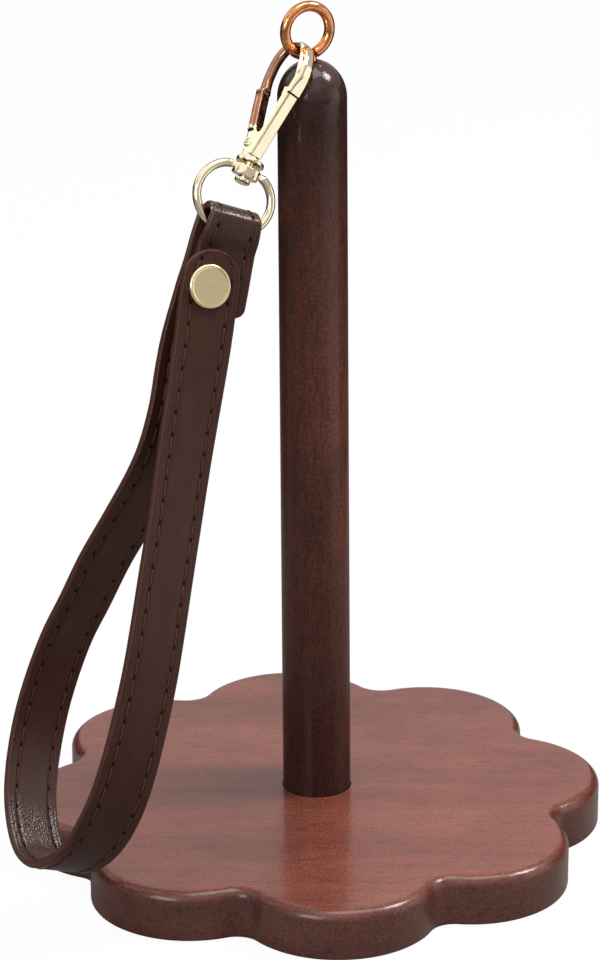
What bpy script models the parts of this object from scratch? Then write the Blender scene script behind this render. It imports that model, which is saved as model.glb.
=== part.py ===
"""Yarn ball holder: a flower-shaped wooden foot with a round post, and a stitched wrist strap
that hangs from the screw eye in the post's top by a swivel snap hook.

Metres, +Z up. The origin is the middle of the foot's underside.
"""

import math

import bmesh
import bpy
import numpy as np

# Clearances
FIT = 0.0003
CUT_OVERRUN = 0.0010

# Wooden foot
BASE_RADIUS = 0.0575
BASE_THICKNESS = 0.0100
PETALS = 8
PETAL_RADIUS = 0.0194
NOTCH_RADIUS = 0.0046
BASE_TOP_ROUND = 0.0022
BASE_BOTTOM_ROUND = 0.0008
FIRST_PETAL_ANGLE = math.radians(-83.15)
PETAL_POINTS = 9
NOTCH_POINTS = 3

# Wooden post, seated in a mortise in the foot
POST_RADIUS = 0.0070
POST_SHOWING = 0.1475
POST_DOME_HEIGHT = 0.0055
POST_EDGE_BREAK = 0.0004
MORTISE_DEPTH = 0.0030
MORTISE_EDGE_BREAK = 0.0003

# Double-ended screw that draws the post down into the foot
DOWEL_RADIUS = 0.0020
DOWEL_ROOT_RADIUS = 0.0015
DOWEL_IN_BASE = 0.0045
DOWEL_IN_POST = 0.0150
DOWEL_POINT = 0.0020
DOWEL_THREADS = 8
THREAD_CREST_SHARE = 0.5

# Screw eye
EYE_WIRE_RADIUS = 0.0010
EYE_RING_RADIUS = 0.0046
EYE_BEND_RADIUS = 0.0012
EYE_OFFSET = 0.0009
EYE_SEAT_RADIUS = 0.0019
EYE_SEAT_DEPTH = 0.0005
EYE_SUNK = 0.0002
EYE_SHANK_DEPTH = 0.0135
EYE_POINT = 0.0020
EYE_END_BREAK = 0.0002
EYE_YAW = math.radians(27.0)
EYE_END_ANGLE = math.radians(249.0)

# Where the hook hangs on the eye, and how it hangs
CONTACT_ANGLE = math.radians(-62.0)
CLASP_LENGTH = 0.02350
CLASP_LEAN = math.radians(40.5)
CLASP_HEADING = math.radians(-125.5)
CLASP_TURN = math.radians(-58.0)

# Hook body, seen from the side: across towards the gate, and up from the flange's lower face
HOOK_HEIGHT = 0.0256
HOOK_REACH = 0.0056
FLANGE_RADIUS = 0.0027
FLANGE_THICKNESS = 0.0008
FLANGE_EDGE_BREAK = 0.0002
BLOCK_HALF_DEPTH = 0.00085
SPINE_HALF_DEPTH = 0.0010
ARM_HALF_DEPTH = 0.0009
COLLAR_HALF_DEPTH = 0.0013
NOSE_HALF_DEPTH = 0.0014
FLUTE_DEPTH = 0.00022
NOSE_END_RISE = 0.0004

# Stem of the hook, headed over inside the swivel ring
STEM_RADIUS = 0.0008
STEM_HEAD_RADIUS = 0.0015
STEM_HEAD_HEIGHT = 0.0008
STEM_HEAD_STARTS_AT = math.radians(25.0)

# Gate: a channel of thin sheet on a pin, with a coiled spring
PIN_ACROSS = -0.0013
PIN_UP = 0.0040
PIN_RADIUS = 0.00045
PIN_HEAD_RADIUS = 0.0009
PIN_HEAD_HEIGHT = 0.0003
PIN_HEAD_RIM = 0.0001
GATE_SHEET = 0.0003
GATE_HALF_WIDTH = 0.00135
GATE_CORNER = 0.00045
GATE_FOOT_ACROSS = 0.0009
GATE_FOOT_UP = 0.0018
GATE_TOP_ACROSS = 0.0041
GATE_TOP_UP = 0.0144
GATE_EAR_RADIUS = 0.00135
EAR_STARTS_AT = math.radians(-85.0)
EAR_ENDS_AT = math.radians(50.0)
EAR_BLEND_SHARES = (0.3, 0.7, 1.0)
GATE_CHEEK_DEPTH = 0.0012
GATE_TONGUE_ACROSS = 0.0028
GATE_TONGUE_LENGTH = 0.0016
GATE_TONGUE_NARROWING = 0.0006
SPRING_WIRE_RADIUS = 0.00013
SPRING_TURNS = 1.25
SPRING_LEAVES_AT = math.radians(-35.0)
SPRING_LONG_LEG = 0.0033
SPRING_SHORT_LEG = 0.0004
SPRING_GAP = 0.00015
SPRING_SLOT_HALF_WIDTH = 0.00065
SPRING_SLOT_DEPTH = 0.0013
SPRING_SLOT_TOP = 0.0063

# Swivel ring
RING_WIRE_RADIUS = 0.00082
RING_HALF_WIDTH = 0.0073
RING_HALF_HEIGHT = 0.0064
BOSS_RADIUS = 0.0019
BOSS_HEIGHT = 0.0020
BOSS_EDGE_BREAK = 0.0003
BOSS_FROM_RING_CENTRE = 0.0052
BOSS_REACH_SHARE = 0.5
RING_TILT = math.radians(8.0)
RING_HEADING = math.radians(14.0)
RING_DIP = math.radians(21.5)

# Wrist strap: one strip of two plies, folded over the ring and riveted to itself
STRAP_WIDTH = 0.0121
FOLD_WIDTH = 0.0098
SQUEEZE_LENGTH = 0.0060
PLY_THICKNESS = 0.0006
STRAP_HEADING = math.radians(20.9)
STRAP_DIP = math.radians(18.0)
STRAP_LEAN = math.radians(-14.0)
STRAP_TWIST = math.radians(13.0)
TWIST_START = 0.0180
TWIST_END = 0.0650
HANG_SLIDE = -0.0003
TAB_SHIFT = 0.0029
SHIFT_LENGTH = 0.0300
FOLD_RADIUS = 0.0020
FOLD_RISE = 0.0010
LOOP_LENGTH = 0.1225
LOOP_DEPTH = 0.0270
LAYERS_FORWARD = 0.00165
TIP_ABOVE_RIVET = 0.0070
TAB_BELOW_RIVET = 0.0047
STRAP_TIP_LENGTH = 0.0060
TAB_CORNER = 0.0020
STATION_SPACING = 0.0026
STATION_TURN = math.radians(14.0)
STATION_LEAST = 0.00015
TIP_CORNER_SHARES = (0.02, 0.1, 0.25, 0.5, 0.75, 1.0)
TAB_CORNER_SHARES = (0.05, 0.4, 1.0)
TAB_SETTLING_SHARES = (0.4, 1.0)
FOLD_ENDS_AT = math.radians(160.0)

# Double-cap rivet through the three thicknesses of the strap
RIVET_FROM_RING = 0.0114
RIVET_CAP_RADIUS = 0.0041
RIVET_CAP_HEIGHT = 0.0012
RIVET_RIM = 0.0003
RIVET_TUBE_RADIUS = 0.0015
RIVET_BORE_RADIUS = 0.00095
RIVET_PIN_RADIUS = 0.00065
RIVET_PIN_POINT = 0.0004
RIVET_HOLE_REACH = 0.0068
RIVET_DOME_ANGLES = (math.radians(30.0), math.radians(60.0))

# Facets
POST_SIDES = 40
WIRE_SIDES = 12
HOOK_SIDES = 16
TURNED_SIDES = 20
SPRING_SIDES = 6
SPRING_STEPS_PER_TURN = 10
FOOT_BOTTOM_STEPS = 3
FOOT_TOP_STEPS = 5
POST_DOME_STEPS = 7
EYE_BEND_STEPS = 5
EYE_RING_STEPS = 30
RING_STEPS = 36
STEM_HEAD_STEPS = 4
EAR_STEPS = 8
FOLD_STEPS = 8
EDGE_SHOWS_ABOVE = math.radians(35.0)
STRAP_EDGE_SHOWS_ABOVE = math.radians(50.0)

# How boxy each part of the hook's section is: 2 is an ellipse
BLOCK_BOXINESS = 5.0
SPINE_BOXINESS = 4.0
COLLAR_BOXINESS = 3.0
ARM_BOXINESS = 2.4
NOSE_BOXINESS = 3.0
NOSE_END_BOXINESS = 4.0

UP = np.array([0.0, 0.0, 1.0])


def unit(vector):
    vector = np.asarray(vector, float)
    return vector / np.linalg.norm(vector)


def square_to(vector, axis):
    """The part of a vector that is square to an axis, at length one."""
    return unit(vector - axis * (vector @ axis))


def turned(vector, axis, angle):
    """The vector turned about a unit axis."""
    along = axis * (axis @ vector) * (1 - math.cos(angle))
    return vector * math.cos(angle) + np.cross(axis, vector) * math.sin(angle) + along


def heading_dip(heading, dip):
    """A direction from its compass angle and its angle below the horizontal."""
    flat = math.cos(dip)
    return np.array([flat * math.cos(heading), flat * math.sin(heading), -math.sin(dip)])


def oval(centre, first, second, count, boxiness=2):
    """A closed ring of points; first and second are its half axes, and 2 is an ellipse."""
    angles = np.arange(count) * (2 * math.pi / count)
    across = np.sign(np.cos(angles)) * np.abs(np.cos(angles)) ** (2 / boxiness)
    along = np.sign(np.sin(angles)) * np.abs(np.sin(angles)) ** (2 / boxiness)
    return centre + np.outer(across, first) + np.outer(along, second)


def skin(rings, joined=False):
    """Points and faces over a row of rings. A ring of one point closes to a tip."""
    points = np.concatenate([np.atleast_2d(ring) for ring in rings])
    sizes = [len(np.atleast_2d(ring)) for ring in rings]
    starts = np.cumsum([0] + sizes)
    faces = []
    pairs = [(index, index + 1) for index in range(len(rings) - 1)]
    if joined:
        pairs.append((len(rings) - 1, 0))
    for low, high in pairs:
        for step in range(max(sizes[low], sizes[high])):
            corners = [
                starts[low] + step % sizes[low],
                starts[low] + (step + 1) % sizes[low],
                starts[high] + (step + 1) % sizes[high],
                starts[high] + step % sizes[high],
            ]
            faces.append(list(dict.fromkeys(int(corner) for corner in corners)))
    if not joined:
        for index in (0, len(rings) - 1):
            if sizes[index] > 1:
                faces.append([int(starts[index]) + step for step in range(sizes[index])])
    return points, faces


def material(name, colour, roughness, metallic):
    made = bpy.data.materials.new(name)
    made.use_nodes = True
    shader = made.node_tree.nodes["Principled BSDF"]
    shader.inputs["Base Color"].default_value = (*colour, 1)
    shader.inputs["Roughness"].default_value = roughness
    shader.inputs["Metallic"].default_value = metallic
    made.diffuse_color = (*colour, 1)
    return made


def add_object(name, surface, finish, origin=(0, 0, 0), smooth=EDGE_SHOWS_ABOVE):
    """A closed mesh object whose own origin is at the given place."""
    points, faces = surface
    mesh = bpy.data.meshes.new(name)
    mesh.from_pydata([tuple(point) for point in points - np.asarray(origin)], [], faces)
    shell = bmesh.new()
    shell.from_mesh(mesh)
    bmesh.ops.recalc_face_normals(shell, faces=shell.faces)
    shell.to_mesh(mesh)
    shell.free()
    mesh.shade_smooth()
    mesh.set_sharp_from_angle(angle=smooth)
    if finish:
        mesh.materials.append(finish)
    made = bpy.data.objects.new(name, mesh)
    made.location = tuple(origin)
    bpy.context.scene.collection.objects.link(made)
    return made


def combine(target, name, surface, operation):
    """Joins or cuts a closed shape with a Boolean that stays on the target."""
    helper = add_object(name, surface, None)
    helper.hide_render = True
    helper.display_type = "WIRE"
    modifier = target.modifiers.new(name, "BOOLEAN")
    modifier.operation = operation
    modifier.solver = "EXACT"
    modifier.object = helper


def turned_solid(profile, centre, axis, first, count):
    """A turned shape from pairs of radius and distance along the axis."""
    second = np.cross(axis, first)
    rings = []
    for radius, along in profile:
        middle = centre + axis * along
        rings.append(oval(middle, first * radius, second * radius, count) if radius else middle)
    return skin(rings)


def box_solid(centre, first, second, third):
    """A box from its middle and three half edges."""
    corners = [first + second, second - first, -first - second, first - second]
    return skin([[centre + corner + third for corner in corners],
                 [centre + corner - third for corner in corners]])


# Directions and places that several pieces share
EYE_ACROSS = np.array([-math.cos(EYE_YAW), -math.sin(EYE_YAW), 0.0])
POST_TOP = BASE_THICKNESS + POST_SHOWING
EYE_CENTRE = (EYE_ACROSS * EYE_OFFSET
              + UP * (POST_TOP + FIT - EYE_SUNK + EYE_WIRE_RADIUS + EYE_RING_RADIUS))
HANG_POINT = EYE_CENTRE + EYE_RING_RADIUS * (
    EYE_ACROSS * math.cos(CONTACT_ANGLE) + UP * math.sin(CONTACT_ANGLE))

HANG = heading_dip(CLASP_HEADING, math.pi / 2 - CLASP_LEAN)
HOOK_UP = -HANG
HOOK_ACROSS = square_to(heading_dip(CLASP_TURN, 0), HANG)
HOOK_DEPTH = np.cross(HANG, HOOK_ACROSS)
FLANGE = HANG_POINT + HANG * CLASP_LENGTH
PIN_CENTRE = FLANGE + HOOK_ACROSS * PIN_ACROSS + HOOK_UP * PIN_UP

RING_ACROSS = square_to(heading_dip(RING_HEADING, RING_DIP), HANG)
RING_DOWN = turned(HANG, RING_ACROSS, RING_TILT)
STEM_PLAY = FIT + BOSS_RADIUS * math.tan(RING_TILT)
BOSS_CENTRE = FLANGE + HANG * (STEM_PLAY + BOSS_HEIGHT / 2)
RING_CENTRE = BOSS_CENTRE + RING_DOWN * BOSS_FROM_RING_CENTRE

STRAP_ACROSS = heading_dip(STRAP_HEADING, STRAP_DIP)
STRAP_DOWN = turned(square_to(-UP, STRAP_ACROSS), STRAP_ACROSS, STRAP_LEAN)
STRAP_BACK = np.cross(STRAP_ACROSS, STRAP_DOWN)
SLANT = math.atan2(STRAP_ACROSS @ RING_DOWN, STRAP_ACROSS @ RING_ACROSS)
RING_LOWEST = (RING_DOWN * RING_HALF_HEIGHT ** 2 * math.cos(SLANT)
               - RING_ACROSS * RING_HALF_WIDTH ** 2 * math.sin(SLANT)) / math.hypot(
                   RING_HALF_HEIGHT * math.cos(SLANT), RING_HALF_WIDTH * math.sin(SLANT))
CHORD_SHARE = math.sqrt(1 - (FOLD_WIDTH / 2 / RING_HALF_WIDTH) ** 2)
STRAP_HANG = (RING_CENTRE + RING_LOWEST * (1 + CHORD_SHARE) / 2
              + STRAP_ACROSS * HANG_SLIDE)
STRAP_THICKNESS = 2 * PLY_THICKNESS + FIT
LAYER_PITCH = STRAP_THICKNESS + FIT
BACK_LAYER = FOLD_RADIUS + STRAP_THICKNESS / 2
REAR_LAYER = BACK_LAYER - LAYERS_FORWARD
MIDDLE_LAYER = REAR_LAYER - LAYER_PITCH
FRONT_LAYER = MIDDLE_LAYER - LAYER_PITCH


def flower_ring(inset, height):
    """Points round the foot's outline, set in from its edge: petal arcs joined by notch arcs."""
    step = 2 * math.pi / PETALS
    petal_distance = BASE_RADIUS - PETAL_RADIUS
    square = petal_distance * math.cos(step / 2)
    reach = PETAL_RADIUS + NOTCH_RADIUS
    notch_distance = square + math.sqrt(square ** 2 - petal_distance ** 2 + reach ** 2)
    spread = math.atan2(notch_distance * math.sin(step / 2),
                        notch_distance * math.cos(step / 2) - petal_distance)
    points = []
    for petal in range(PETALS):
        middle = FIRST_PETAL_ANGLE + petal * step
        arcs = [
            (middle, petal_distance, PETAL_RADIUS - inset,
             middle + spread * np.linspace(-1, 1, PETAL_POINTS)),
            (middle + step / 2, notch_distance, NOTCH_RADIUS + inset,
             middle + step / 2 + math.pi
             + (spread - step / 2) * np.linspace(1, -1, NOTCH_POINTS + 2)[1:-1]),
        ]
        for towards, distance, radius, angles in arcs:
            for angle in angles:
                points.append([distance * math.cos(towards) + radius * math.cos(angle),
                               distance * math.sin(towards) + radius * math.sin(angle),
                               height])
    return np.array(points)


def bore_ring(radius, height):
    """Points round a bore, each opposite a point of the foot's outline."""
    outline = flower_ring(0, 0)[:, :2]
    outward = outline / np.linalg.norm(outline, axis=1)[:, None]
    return np.column_stack([outward * radius, np.full(len(outward), height)])


def make_base(finish):
    mortise = POST_RADIUS + FIT
    floor = BASE_THICKNESS - MORTISE_DEPTH
    rings = []
    for angle in np.linspace(0, math.pi / 2, FOOT_BOTTOM_STEPS):
        rings.append(flower_ring(BASE_BOTTOM_ROUND * (1 - math.sin(angle)),
                                 BASE_BOTTOM_ROUND * (1 - math.cos(angle))))
    for angle in np.linspace(0, math.pi / 2, FOOT_TOP_STEPS):
        rings.append(flower_ring(BASE_TOP_ROUND * (1 - math.cos(angle)),
                                 BASE_THICKNESS - BASE_TOP_ROUND * (1 - math.sin(angle))))
    rings.append(bore_ring(mortise + MORTISE_EDGE_BREAK, BASE_THICKNESS))
    rings.append(bore_ring(mortise, BASE_THICKNESS - MORTISE_EDGE_BREAK))
    rings.append(bore_ring(mortise, floor))
    rings.append(bore_ring(DOWEL_RADIUS + FIT, floor))
    rings.append(bore_ring(DOWEL_RADIUS + FIT, floor - DOWEL_IN_BASE - FIT))
    return add_object("base", skin(rings), finish)


def make_post(finish):
    foot = BASE_THICKNESS - MORTISE_DEPTH + FIT
    dowel_bore = DOWEL_RADIUS + FIT
    eye_bore = EYE_WIRE_RADIUS + FIT
    dome_start = POST_TOP - POST_DOME_HEIGHT
    rim_angle = math.acos(EYE_SEAT_RADIUS / POST_RADIUS)
    profile = [
        (0, foot + DOWEL_IN_POST + FIT),
        (dowel_bore, foot + DOWEL_IN_POST + FIT),
        (dowel_bore, foot),
        (POST_RADIUS - POST_EDGE_BREAK, foot),
        (POST_RADIUS, foot + POST_EDGE_BREAK),
    ]
    for angle in np.linspace(0, rim_angle, POST_DOME_STEPS):
        profile.append((POST_RADIUS * math.cos(angle),
                        dome_start + POST_DOME_HEIGHT * math.sin(angle)))
    bore_floor = POST_TOP - EYE_SHANK_DEPTH - FIT
    profile.append((eye_bore, profile[-1][1] - EYE_SEAT_DEPTH))
    profile.append((eye_bore, bore_floor))
    profile.append((0, bore_floor - eye_bore))
    surface = turned_solid(profile, np.zeros(3), UP, np.array([1.0, 0, 0]), POST_SIDES)
    return add_object("post", surface, finish)


def make_dowel_screw(finish):
    seat = BASE_THICKNESS - MORTISE_DEPTH
    low = seat - DOWEL_IN_BASE
    high = seat + FIT + DOWEL_IN_POST
    start, end = low + DOWEL_POINT, high - DOWEL_POINT
    profile = [(0, low), (DOWEL_ROOT_RADIUS, start)]
    pitch = (end - start) / DOWEL_THREADS
    for thread in range(DOWEL_THREADS):
        profile.append((DOWEL_RADIUS, start + (thread + THREAD_CREST_SHARE) * pitch))
        profile.append((DOWEL_ROOT_RADIUS, start + (thread + 1) * pitch))
    profile.append((0, high))
    surface = turned_solid(profile, np.zeros(3), UP, np.array([1.0, 0, 0]), WIRE_SIDES)
    return add_object("dowel_screw", surface, finish)


def wire_rings(path, flat, radii, sides):
    """Rings along a wire bent in one plane; flat is the plane's normal."""
    path = np.asarray(path)
    tangents = np.gradient(path, axis=0)
    rings = []
    for centre, tangent, radius in zip(path, tangents, radii):
        across = unit(np.cross(unit(tangent), flat))
        rings.append(oval(centre, flat * radius, across * radius, sides))
    return rings


def make_screw_eye(finish):
    """A pointed shank that bends out and round into an open ring."""
    bend_across = EYE_BEND_RADIUS - EYE_OFFSET
    bend_up = -math.sqrt((EYE_RING_RADIUS + EYE_BEND_RADIUS) ** 2 - bend_across ** 2)
    meet = math.atan2(bend_up, bend_across)
    tip_up = POST_TOP - EYE_SHANK_DEPTH - EYE_CENTRE[2]
    route = [(-EYE_OFFSET, tip_up + EYE_POINT), (-EYE_OFFSET, bend_up - EYE_BEND_RADIUS)]
    for angle in np.linspace(math.pi, meet + math.pi, EYE_BEND_STEPS)[:-1]:
        route.append((bend_across + EYE_BEND_RADIUS * math.cos(angle),
                      bend_up + EYE_BEND_RADIUS * math.sin(angle)))
    for angle in np.linspace(meet, EYE_END_ANGLE, EYE_RING_STEPS):
        route.append((EYE_RING_RADIUS * math.cos(angle), EYE_RING_RADIUS * math.sin(angle)))
    path = [EYE_CENTRE + EYE_ACROSS * across + UP * up for across, up in route]
    flat = np.cross(EYE_ACROSS, UP)
    rings = wire_rings(path, flat, [EYE_WIRE_RADIUS] * len(path), WIRE_SIDES)
    tip = path[0] - UP * EYE_POINT
    end_way = unit(path[-1] - path[-2])
    shrink = 1 - EYE_END_BREAK / EYE_WIRE_RADIUS
    end_ring = path[-1] + (rings[-1] - path[-1]) * shrink + end_way * EYE_END_BREAK
    return add_object("screw_eye", skin([tip] + rings + [end_ring]), finish, EYE_CENTRE)


def hook_ring(outer, inner, half_depth, boxiness=2, flute=0):
    """A section of the hook between its outer and inner edge points, each across and up."""
    outer, inner = np.array(outer), np.array(inner)
    middle, half = (outer + inner) / 2, (outer - inner) / 2
    centre = FLANGE + HOOK_ACROSS * middle[0] + HOOK_UP * middle[1]
    first = HOOK_ACROSS * half[0] + HOOK_UP * half[1]
    ring = oval(centre, first, HOOK_DEPTH * half_depth, HOOK_SIDES, boxiness)
    for index in (1, HOOK_SIDES - 1):
        ring[index] = ring[index] - unit(first) * flute
    return ring


def round_hook_ring(radius, up):
    return hook_ring((-radius, up), (radius, up), radius)


# Hook outline above the block, as shares of its reach across and its height:
# outer edge across and up, inner edge across and up, then which half depth and how boxy
BLOCK_SHARES = [
    (-0.429, 0.032, 0.027, 0.032), (-0.491, 0.120, 0.098, 0.120), (-0.554, 0.193, 0.152, 0.185),
    (-0.598, 0.225, 0.054, 0.229), (-0.634, 0.253, -0.161, 0.265),
]
FLUTED_SHARES = [(-0.679, 0.285, -0.313, 0.305), (-1.018, 0.558, -0.679, 0.577)]
COLLAR_SHARES = [(-1.054, 0.568, -0.652, 0.590), (-1.071, 0.586, -0.670, 0.606)]
ARM_SHARES = [
    (-1.018, 0.610, -0.625, 0.622), (-1.055, 0.690, -0.700, 0.690), (-1.060, 0.770, -0.710, 0.765),
    (-1.030, 0.840, -0.690, 0.815), (-0.945, 0.905, -0.620, 0.865), (-0.770, 0.960, -0.500, 0.915),
    (-0.500, 0.990, -0.330, 0.952), (-0.180, 1.000, -0.140, 0.971), (0.160, 1.000, 0.110, 0.971),
]
NOSE_SHARES = [
    (0.554, 0.960, 0.286, 0.930, 0.80), (0.821, 0.880, 0.446, 0.851, 0.90),
    (0.964, 0.799, 0.554, 0.775, 1.0), (0.970, 0.710, 0.607, 0.695, 1.0),
]


def make_clasp_hook(finish):
    """Peened stem, flange, pin block, fluted spine, arm, crown and nose in one casting."""
    play = 2 * STEM_PLAY + BOSS_HEIGHT
    rings = [FLANGE + HOOK_UP * -(play + STEM_HEAD_HEIGHT)]
    for angle in np.linspace(STEM_HEAD_STARTS_AT, math.pi / 2, STEM_HEAD_STEPS):
        rings.append(round_hook_ring(STEM_HEAD_RADIUS * math.sin(angle),
                                     -play - STEM_HEAD_HEIGHT / 2 * (1 + math.cos(angle))))
    rings.append(round_hook_ring(STEM_HEAD_RADIUS, -play))
    rings.append(round_hook_ring(STEM_RADIUS, -play))
    rings.append(round_hook_ring(STEM_RADIUS, 0))
    rings.append(round_hook_ring(FLANGE_RADIUS - FLANGE_EDGE_BREAK, 0))
    rings.append(round_hook_ring(FLANGE_RADIUS, FLANGE_EDGE_BREAK))
    rings.append(round_hook_ring(FLANGE_RADIUS, FLANGE_THICKNESS - FLANGE_EDGE_BREAK))
    rings.append(round_hook_ring(FLANGE_RADIUS - FLANGE_EDGE_BREAK, FLANGE_THICKNESS))
    groups = [
        (BLOCK_SHARES, BLOCK_HALF_DEPTH, BLOCK_BOXINESS, 0),
        (FLUTED_SHARES, SPINE_HALF_DEPTH, SPINE_BOXINESS, FLUTE_DEPTH),
        (COLLAR_SHARES, COLLAR_HALF_DEPTH, COLLAR_BOXINESS, 0),
        (ARM_SHARES, ARM_HALF_DEPTH, ARM_BOXINESS, 0),
    ]
    for shares, half_depth, boxiness, flute in groups:
        for across_out, up_out, across_in, up_in in shares:
            rings.append(hook_ring((across_out * HOOK_REACH, up_out * HOOK_HEIGHT),
                                   (across_in * HOOK_REACH, up_in * HOOK_HEIGHT),
                                   half_depth, boxiness, flute))
    for across_out, up_out, across_in, up_in, depth_share in NOSE_SHARES:
        rings.append(hook_ring((across_out * HOOK_REACH, up_out * HOOK_HEIGHT),
                               (across_in * HOOK_REACH, up_in * HOOK_HEIGHT),
                               NOSE_HALF_DEPTH * depth_share, NOSE_BOXINESS))
    tip_up = GATE_TOP_UP + FIT
    tip_in = GATE_TONGUE_ACROSS + FIT
    rings.append(hook_ring((GATE_TOP_ACROSS + FIT, tip_up), (tip_in, tip_up + NOSE_END_RISE),
                           NOSE_HALF_DEPTH, NOSE_END_BOXINESS))
    hook = add_object("clasp_hook", skin(rings), finish, HANG_POINT)

    bore_half = BLOCK_HALF_DEPTH + CUT_OVERRUN
    bore = turned_solid([(PIN_RADIUS + FIT, -bore_half), (PIN_RADIUS + FIT, bore_half)],
                        PIN_CENTRE, HOOK_DEPTH, HOOK_ACROSS, WIRE_SIDES)
    combine(hook, "pin_bore_cut", bore, "DIFFERENCE")
    slot_low, slot_high = PIN_UP - SPRING_SLOT_DEPTH, SPRING_SLOT_TOP
    slot_back, slot_front = PIN_ACROSS - SPRING_SLOT_DEPTH, GATE_FOOT_ACROSS + CUT_OVERRUN
    slot_centre = (FLANGE + HOOK_ACROSS * (slot_back + slot_front) / 2
                   + HOOK_UP * (slot_low + slot_high) / 2)
    slot = box_solid(slot_centre, HOOK_ACROSS * (slot_front - slot_back) / 2,
                     HOOK_UP * (slot_high - slot_low) / 2, HOOK_DEPTH * SPRING_SLOT_HALF_WIDTH)
    combine(hook, "spring_slot_cut", slot, "DIFFERENCE")
    return hook


def gate_ring(up, face_across, back_across, half_width):
    """A channel section of the gate at one height: its face sheet and two cheeks."""
    inside = face_across - GATE_SHEET
    half_in = half_width - GATE_SHEET
    slant = GATE_CORNER * (1 - math.cos(math.pi / 4))
    corners = [
        (back_across, half_width), (face_across - GATE_CORNER, half_width),
        (face_across - slant, half_width - slant), (face_across, half_width - GATE_CORNER),
        (face_across, GATE_CORNER - half_width), (face_across - slant, slant - half_width),
        (face_across - GATE_CORNER, -half_width), (back_across, -half_width),
        (back_across, -half_in), (inside, -half_in), (inside, half_in), (back_across, half_in),
    ]
    return np.array([FLANGE + HOOK_ACROSS * across + HOOK_UP * up + HOOK_DEPTH * deep
                     for across, deep in corners])


def gate_face(up):
    """How far across the gate's outer face stands at a height."""
    share = (up - GATE_FOOT_UP) / (GATE_TOP_UP - GATE_FOOT_UP)
    return GATE_FOOT_ACROSS + share * (GATE_TOP_ACROSS - GATE_FOOT_ACROSS)


def make_clasp_gate(finish):
    """A folded sheet channel with two ears round the pin and a tongue behind the hook's tip."""
    ear_low, ear_top = PIN_UP - GATE_EAR_RADIUS, PIN_UP + GATE_EAR_RADIUS
    backs = [(GATE_FOOT_UP, gate_face(GATE_FOOT_UP) - GATE_CHEEK_DEPTH)]
    for angle in np.linspace(EAR_STARTS_AT, EAR_ENDS_AT, EAR_STEPS):
        up = PIN_UP + GATE_EAR_RADIUS * math.sin(angle)
        backs.append((max(up, ear_low), PIN_ACROSS - GATE_EAR_RADIUS * math.cos(angle)))
    for share in EAR_BLEND_SHARES:
        up = ear_top + share * GATE_EAR_RADIUS
        slim = gate_face(up) - GATE_CHEEK_DEPTH
        backs.append((up, PIN_ACROSS + share * (slim - PIN_ACROSS)))
    backs.append((GATE_TOP_UP, GATE_TOP_ACROSS - GATE_CHEEK_DEPTH - GATE_SHEET))
    rings = [gate_ring(up, gate_face(up), back, GATE_HALF_WIDTH) for up, back in backs]
    tongue_half = GATE_HALF_WIDTH - GATE_TONGUE_NARROWING
    tongue_back = GATE_TONGUE_ACROSS - GATE_CHEEK_DEPTH
    for up in (GATE_TOP_UP, GATE_TOP_UP + GATE_TONGUE_LENGTH):
        rings.append(gate_ring(up, GATE_TONGUE_ACROSS, tongue_back, tongue_half))
    gate = add_object("clasp_gate", skin(rings), finish, PIN_CENTRE)
    bore_half = GATE_HALF_WIDTH + CUT_OVERRUN
    bore = turned_solid([(PIN_RADIUS + FIT, -bore_half), (PIN_RADIUS + FIT, bore_half)],
                        PIN_CENTRE, HOOK_DEPTH, HOOK_ACROSS, WIRE_SIDES)
    combine(gate, "gate_bore_cut", bore, "DIFFERENCE")
    return gate


def make_gate_pin(finish):
    head_at = GATE_HALF_WIDTH + FIT
    half = [(PIN_RADIUS, head_at), (PIN_HEAD_RADIUS, head_at),
            (PIN_HEAD_RADIUS, head_at + PIN_HEAD_RIM),
            (PIN_RADIUS, head_at + PIN_HEAD_HEIGHT), (0, head_at + PIN_HEAD_HEIGHT)]
    profile = [(radius, -along) for radius, along in reversed(half)] + half
    surface = turned_solid(profile, PIN_CENTRE, HOOK_DEPTH, HOOK_ACROSS, WIRE_SIDES)
    return add_object("gate_pin", surface, finish, PIN_CENTRE)


def make_gate_spring(finish):
    """One coil and a quarter round the pin, with a long leg along the gate and a short one."""
    coil_radius = PIN_RADIUS + FIT + SPRING_WIRE_RADIUS
    pitch = 2 * SPRING_WIRE_RADIUS + SPRING_GAP
    steps = int(SPRING_STEPS_PER_TURN * SPRING_TURNS)
    shares = np.linspace(0, 1, steps + 1)
    turns = SPRING_LEAVES_AT - 2 * math.pi * SPRING_TURNS * (1 - shares)
    depths = pitch * SPRING_TURNS * (2 * shares - 1) / 2
    coil = [PIN_CENTRE + coil_radius * (HOOK_ACROSS * math.cos(turn) + HOOK_UP * math.sin(turn))
            + HOOK_DEPTH * depth for turn, depth in zip(turns, depths)]

    def tangent(turn):
        return HOOK_UP * math.cos(turn) - HOOK_ACROSS * math.sin(turn)

    path = [coil[0] - tangent(turns[0]) * SPRING_SHORT_LEG] + coil
    path.append(coil[-1] + tangent(turns[-1]) * SPRING_LONG_LEG)
    path = np.array(path)
    rings = []
    for centre, way in zip(path, np.gradient(path, axis=0)):
        across = square_to(HOOK_DEPTH, unit(way))
        other = np.cross(unit(way), across)
        rings.append(oval(centre, across * SPRING_WIRE_RADIUS, other * SPRING_WIRE_RADIUS,
                          SPRING_SIDES))
    return add_object("gate_spring", skin(rings), finish, PIN_CENTRE)


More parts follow.
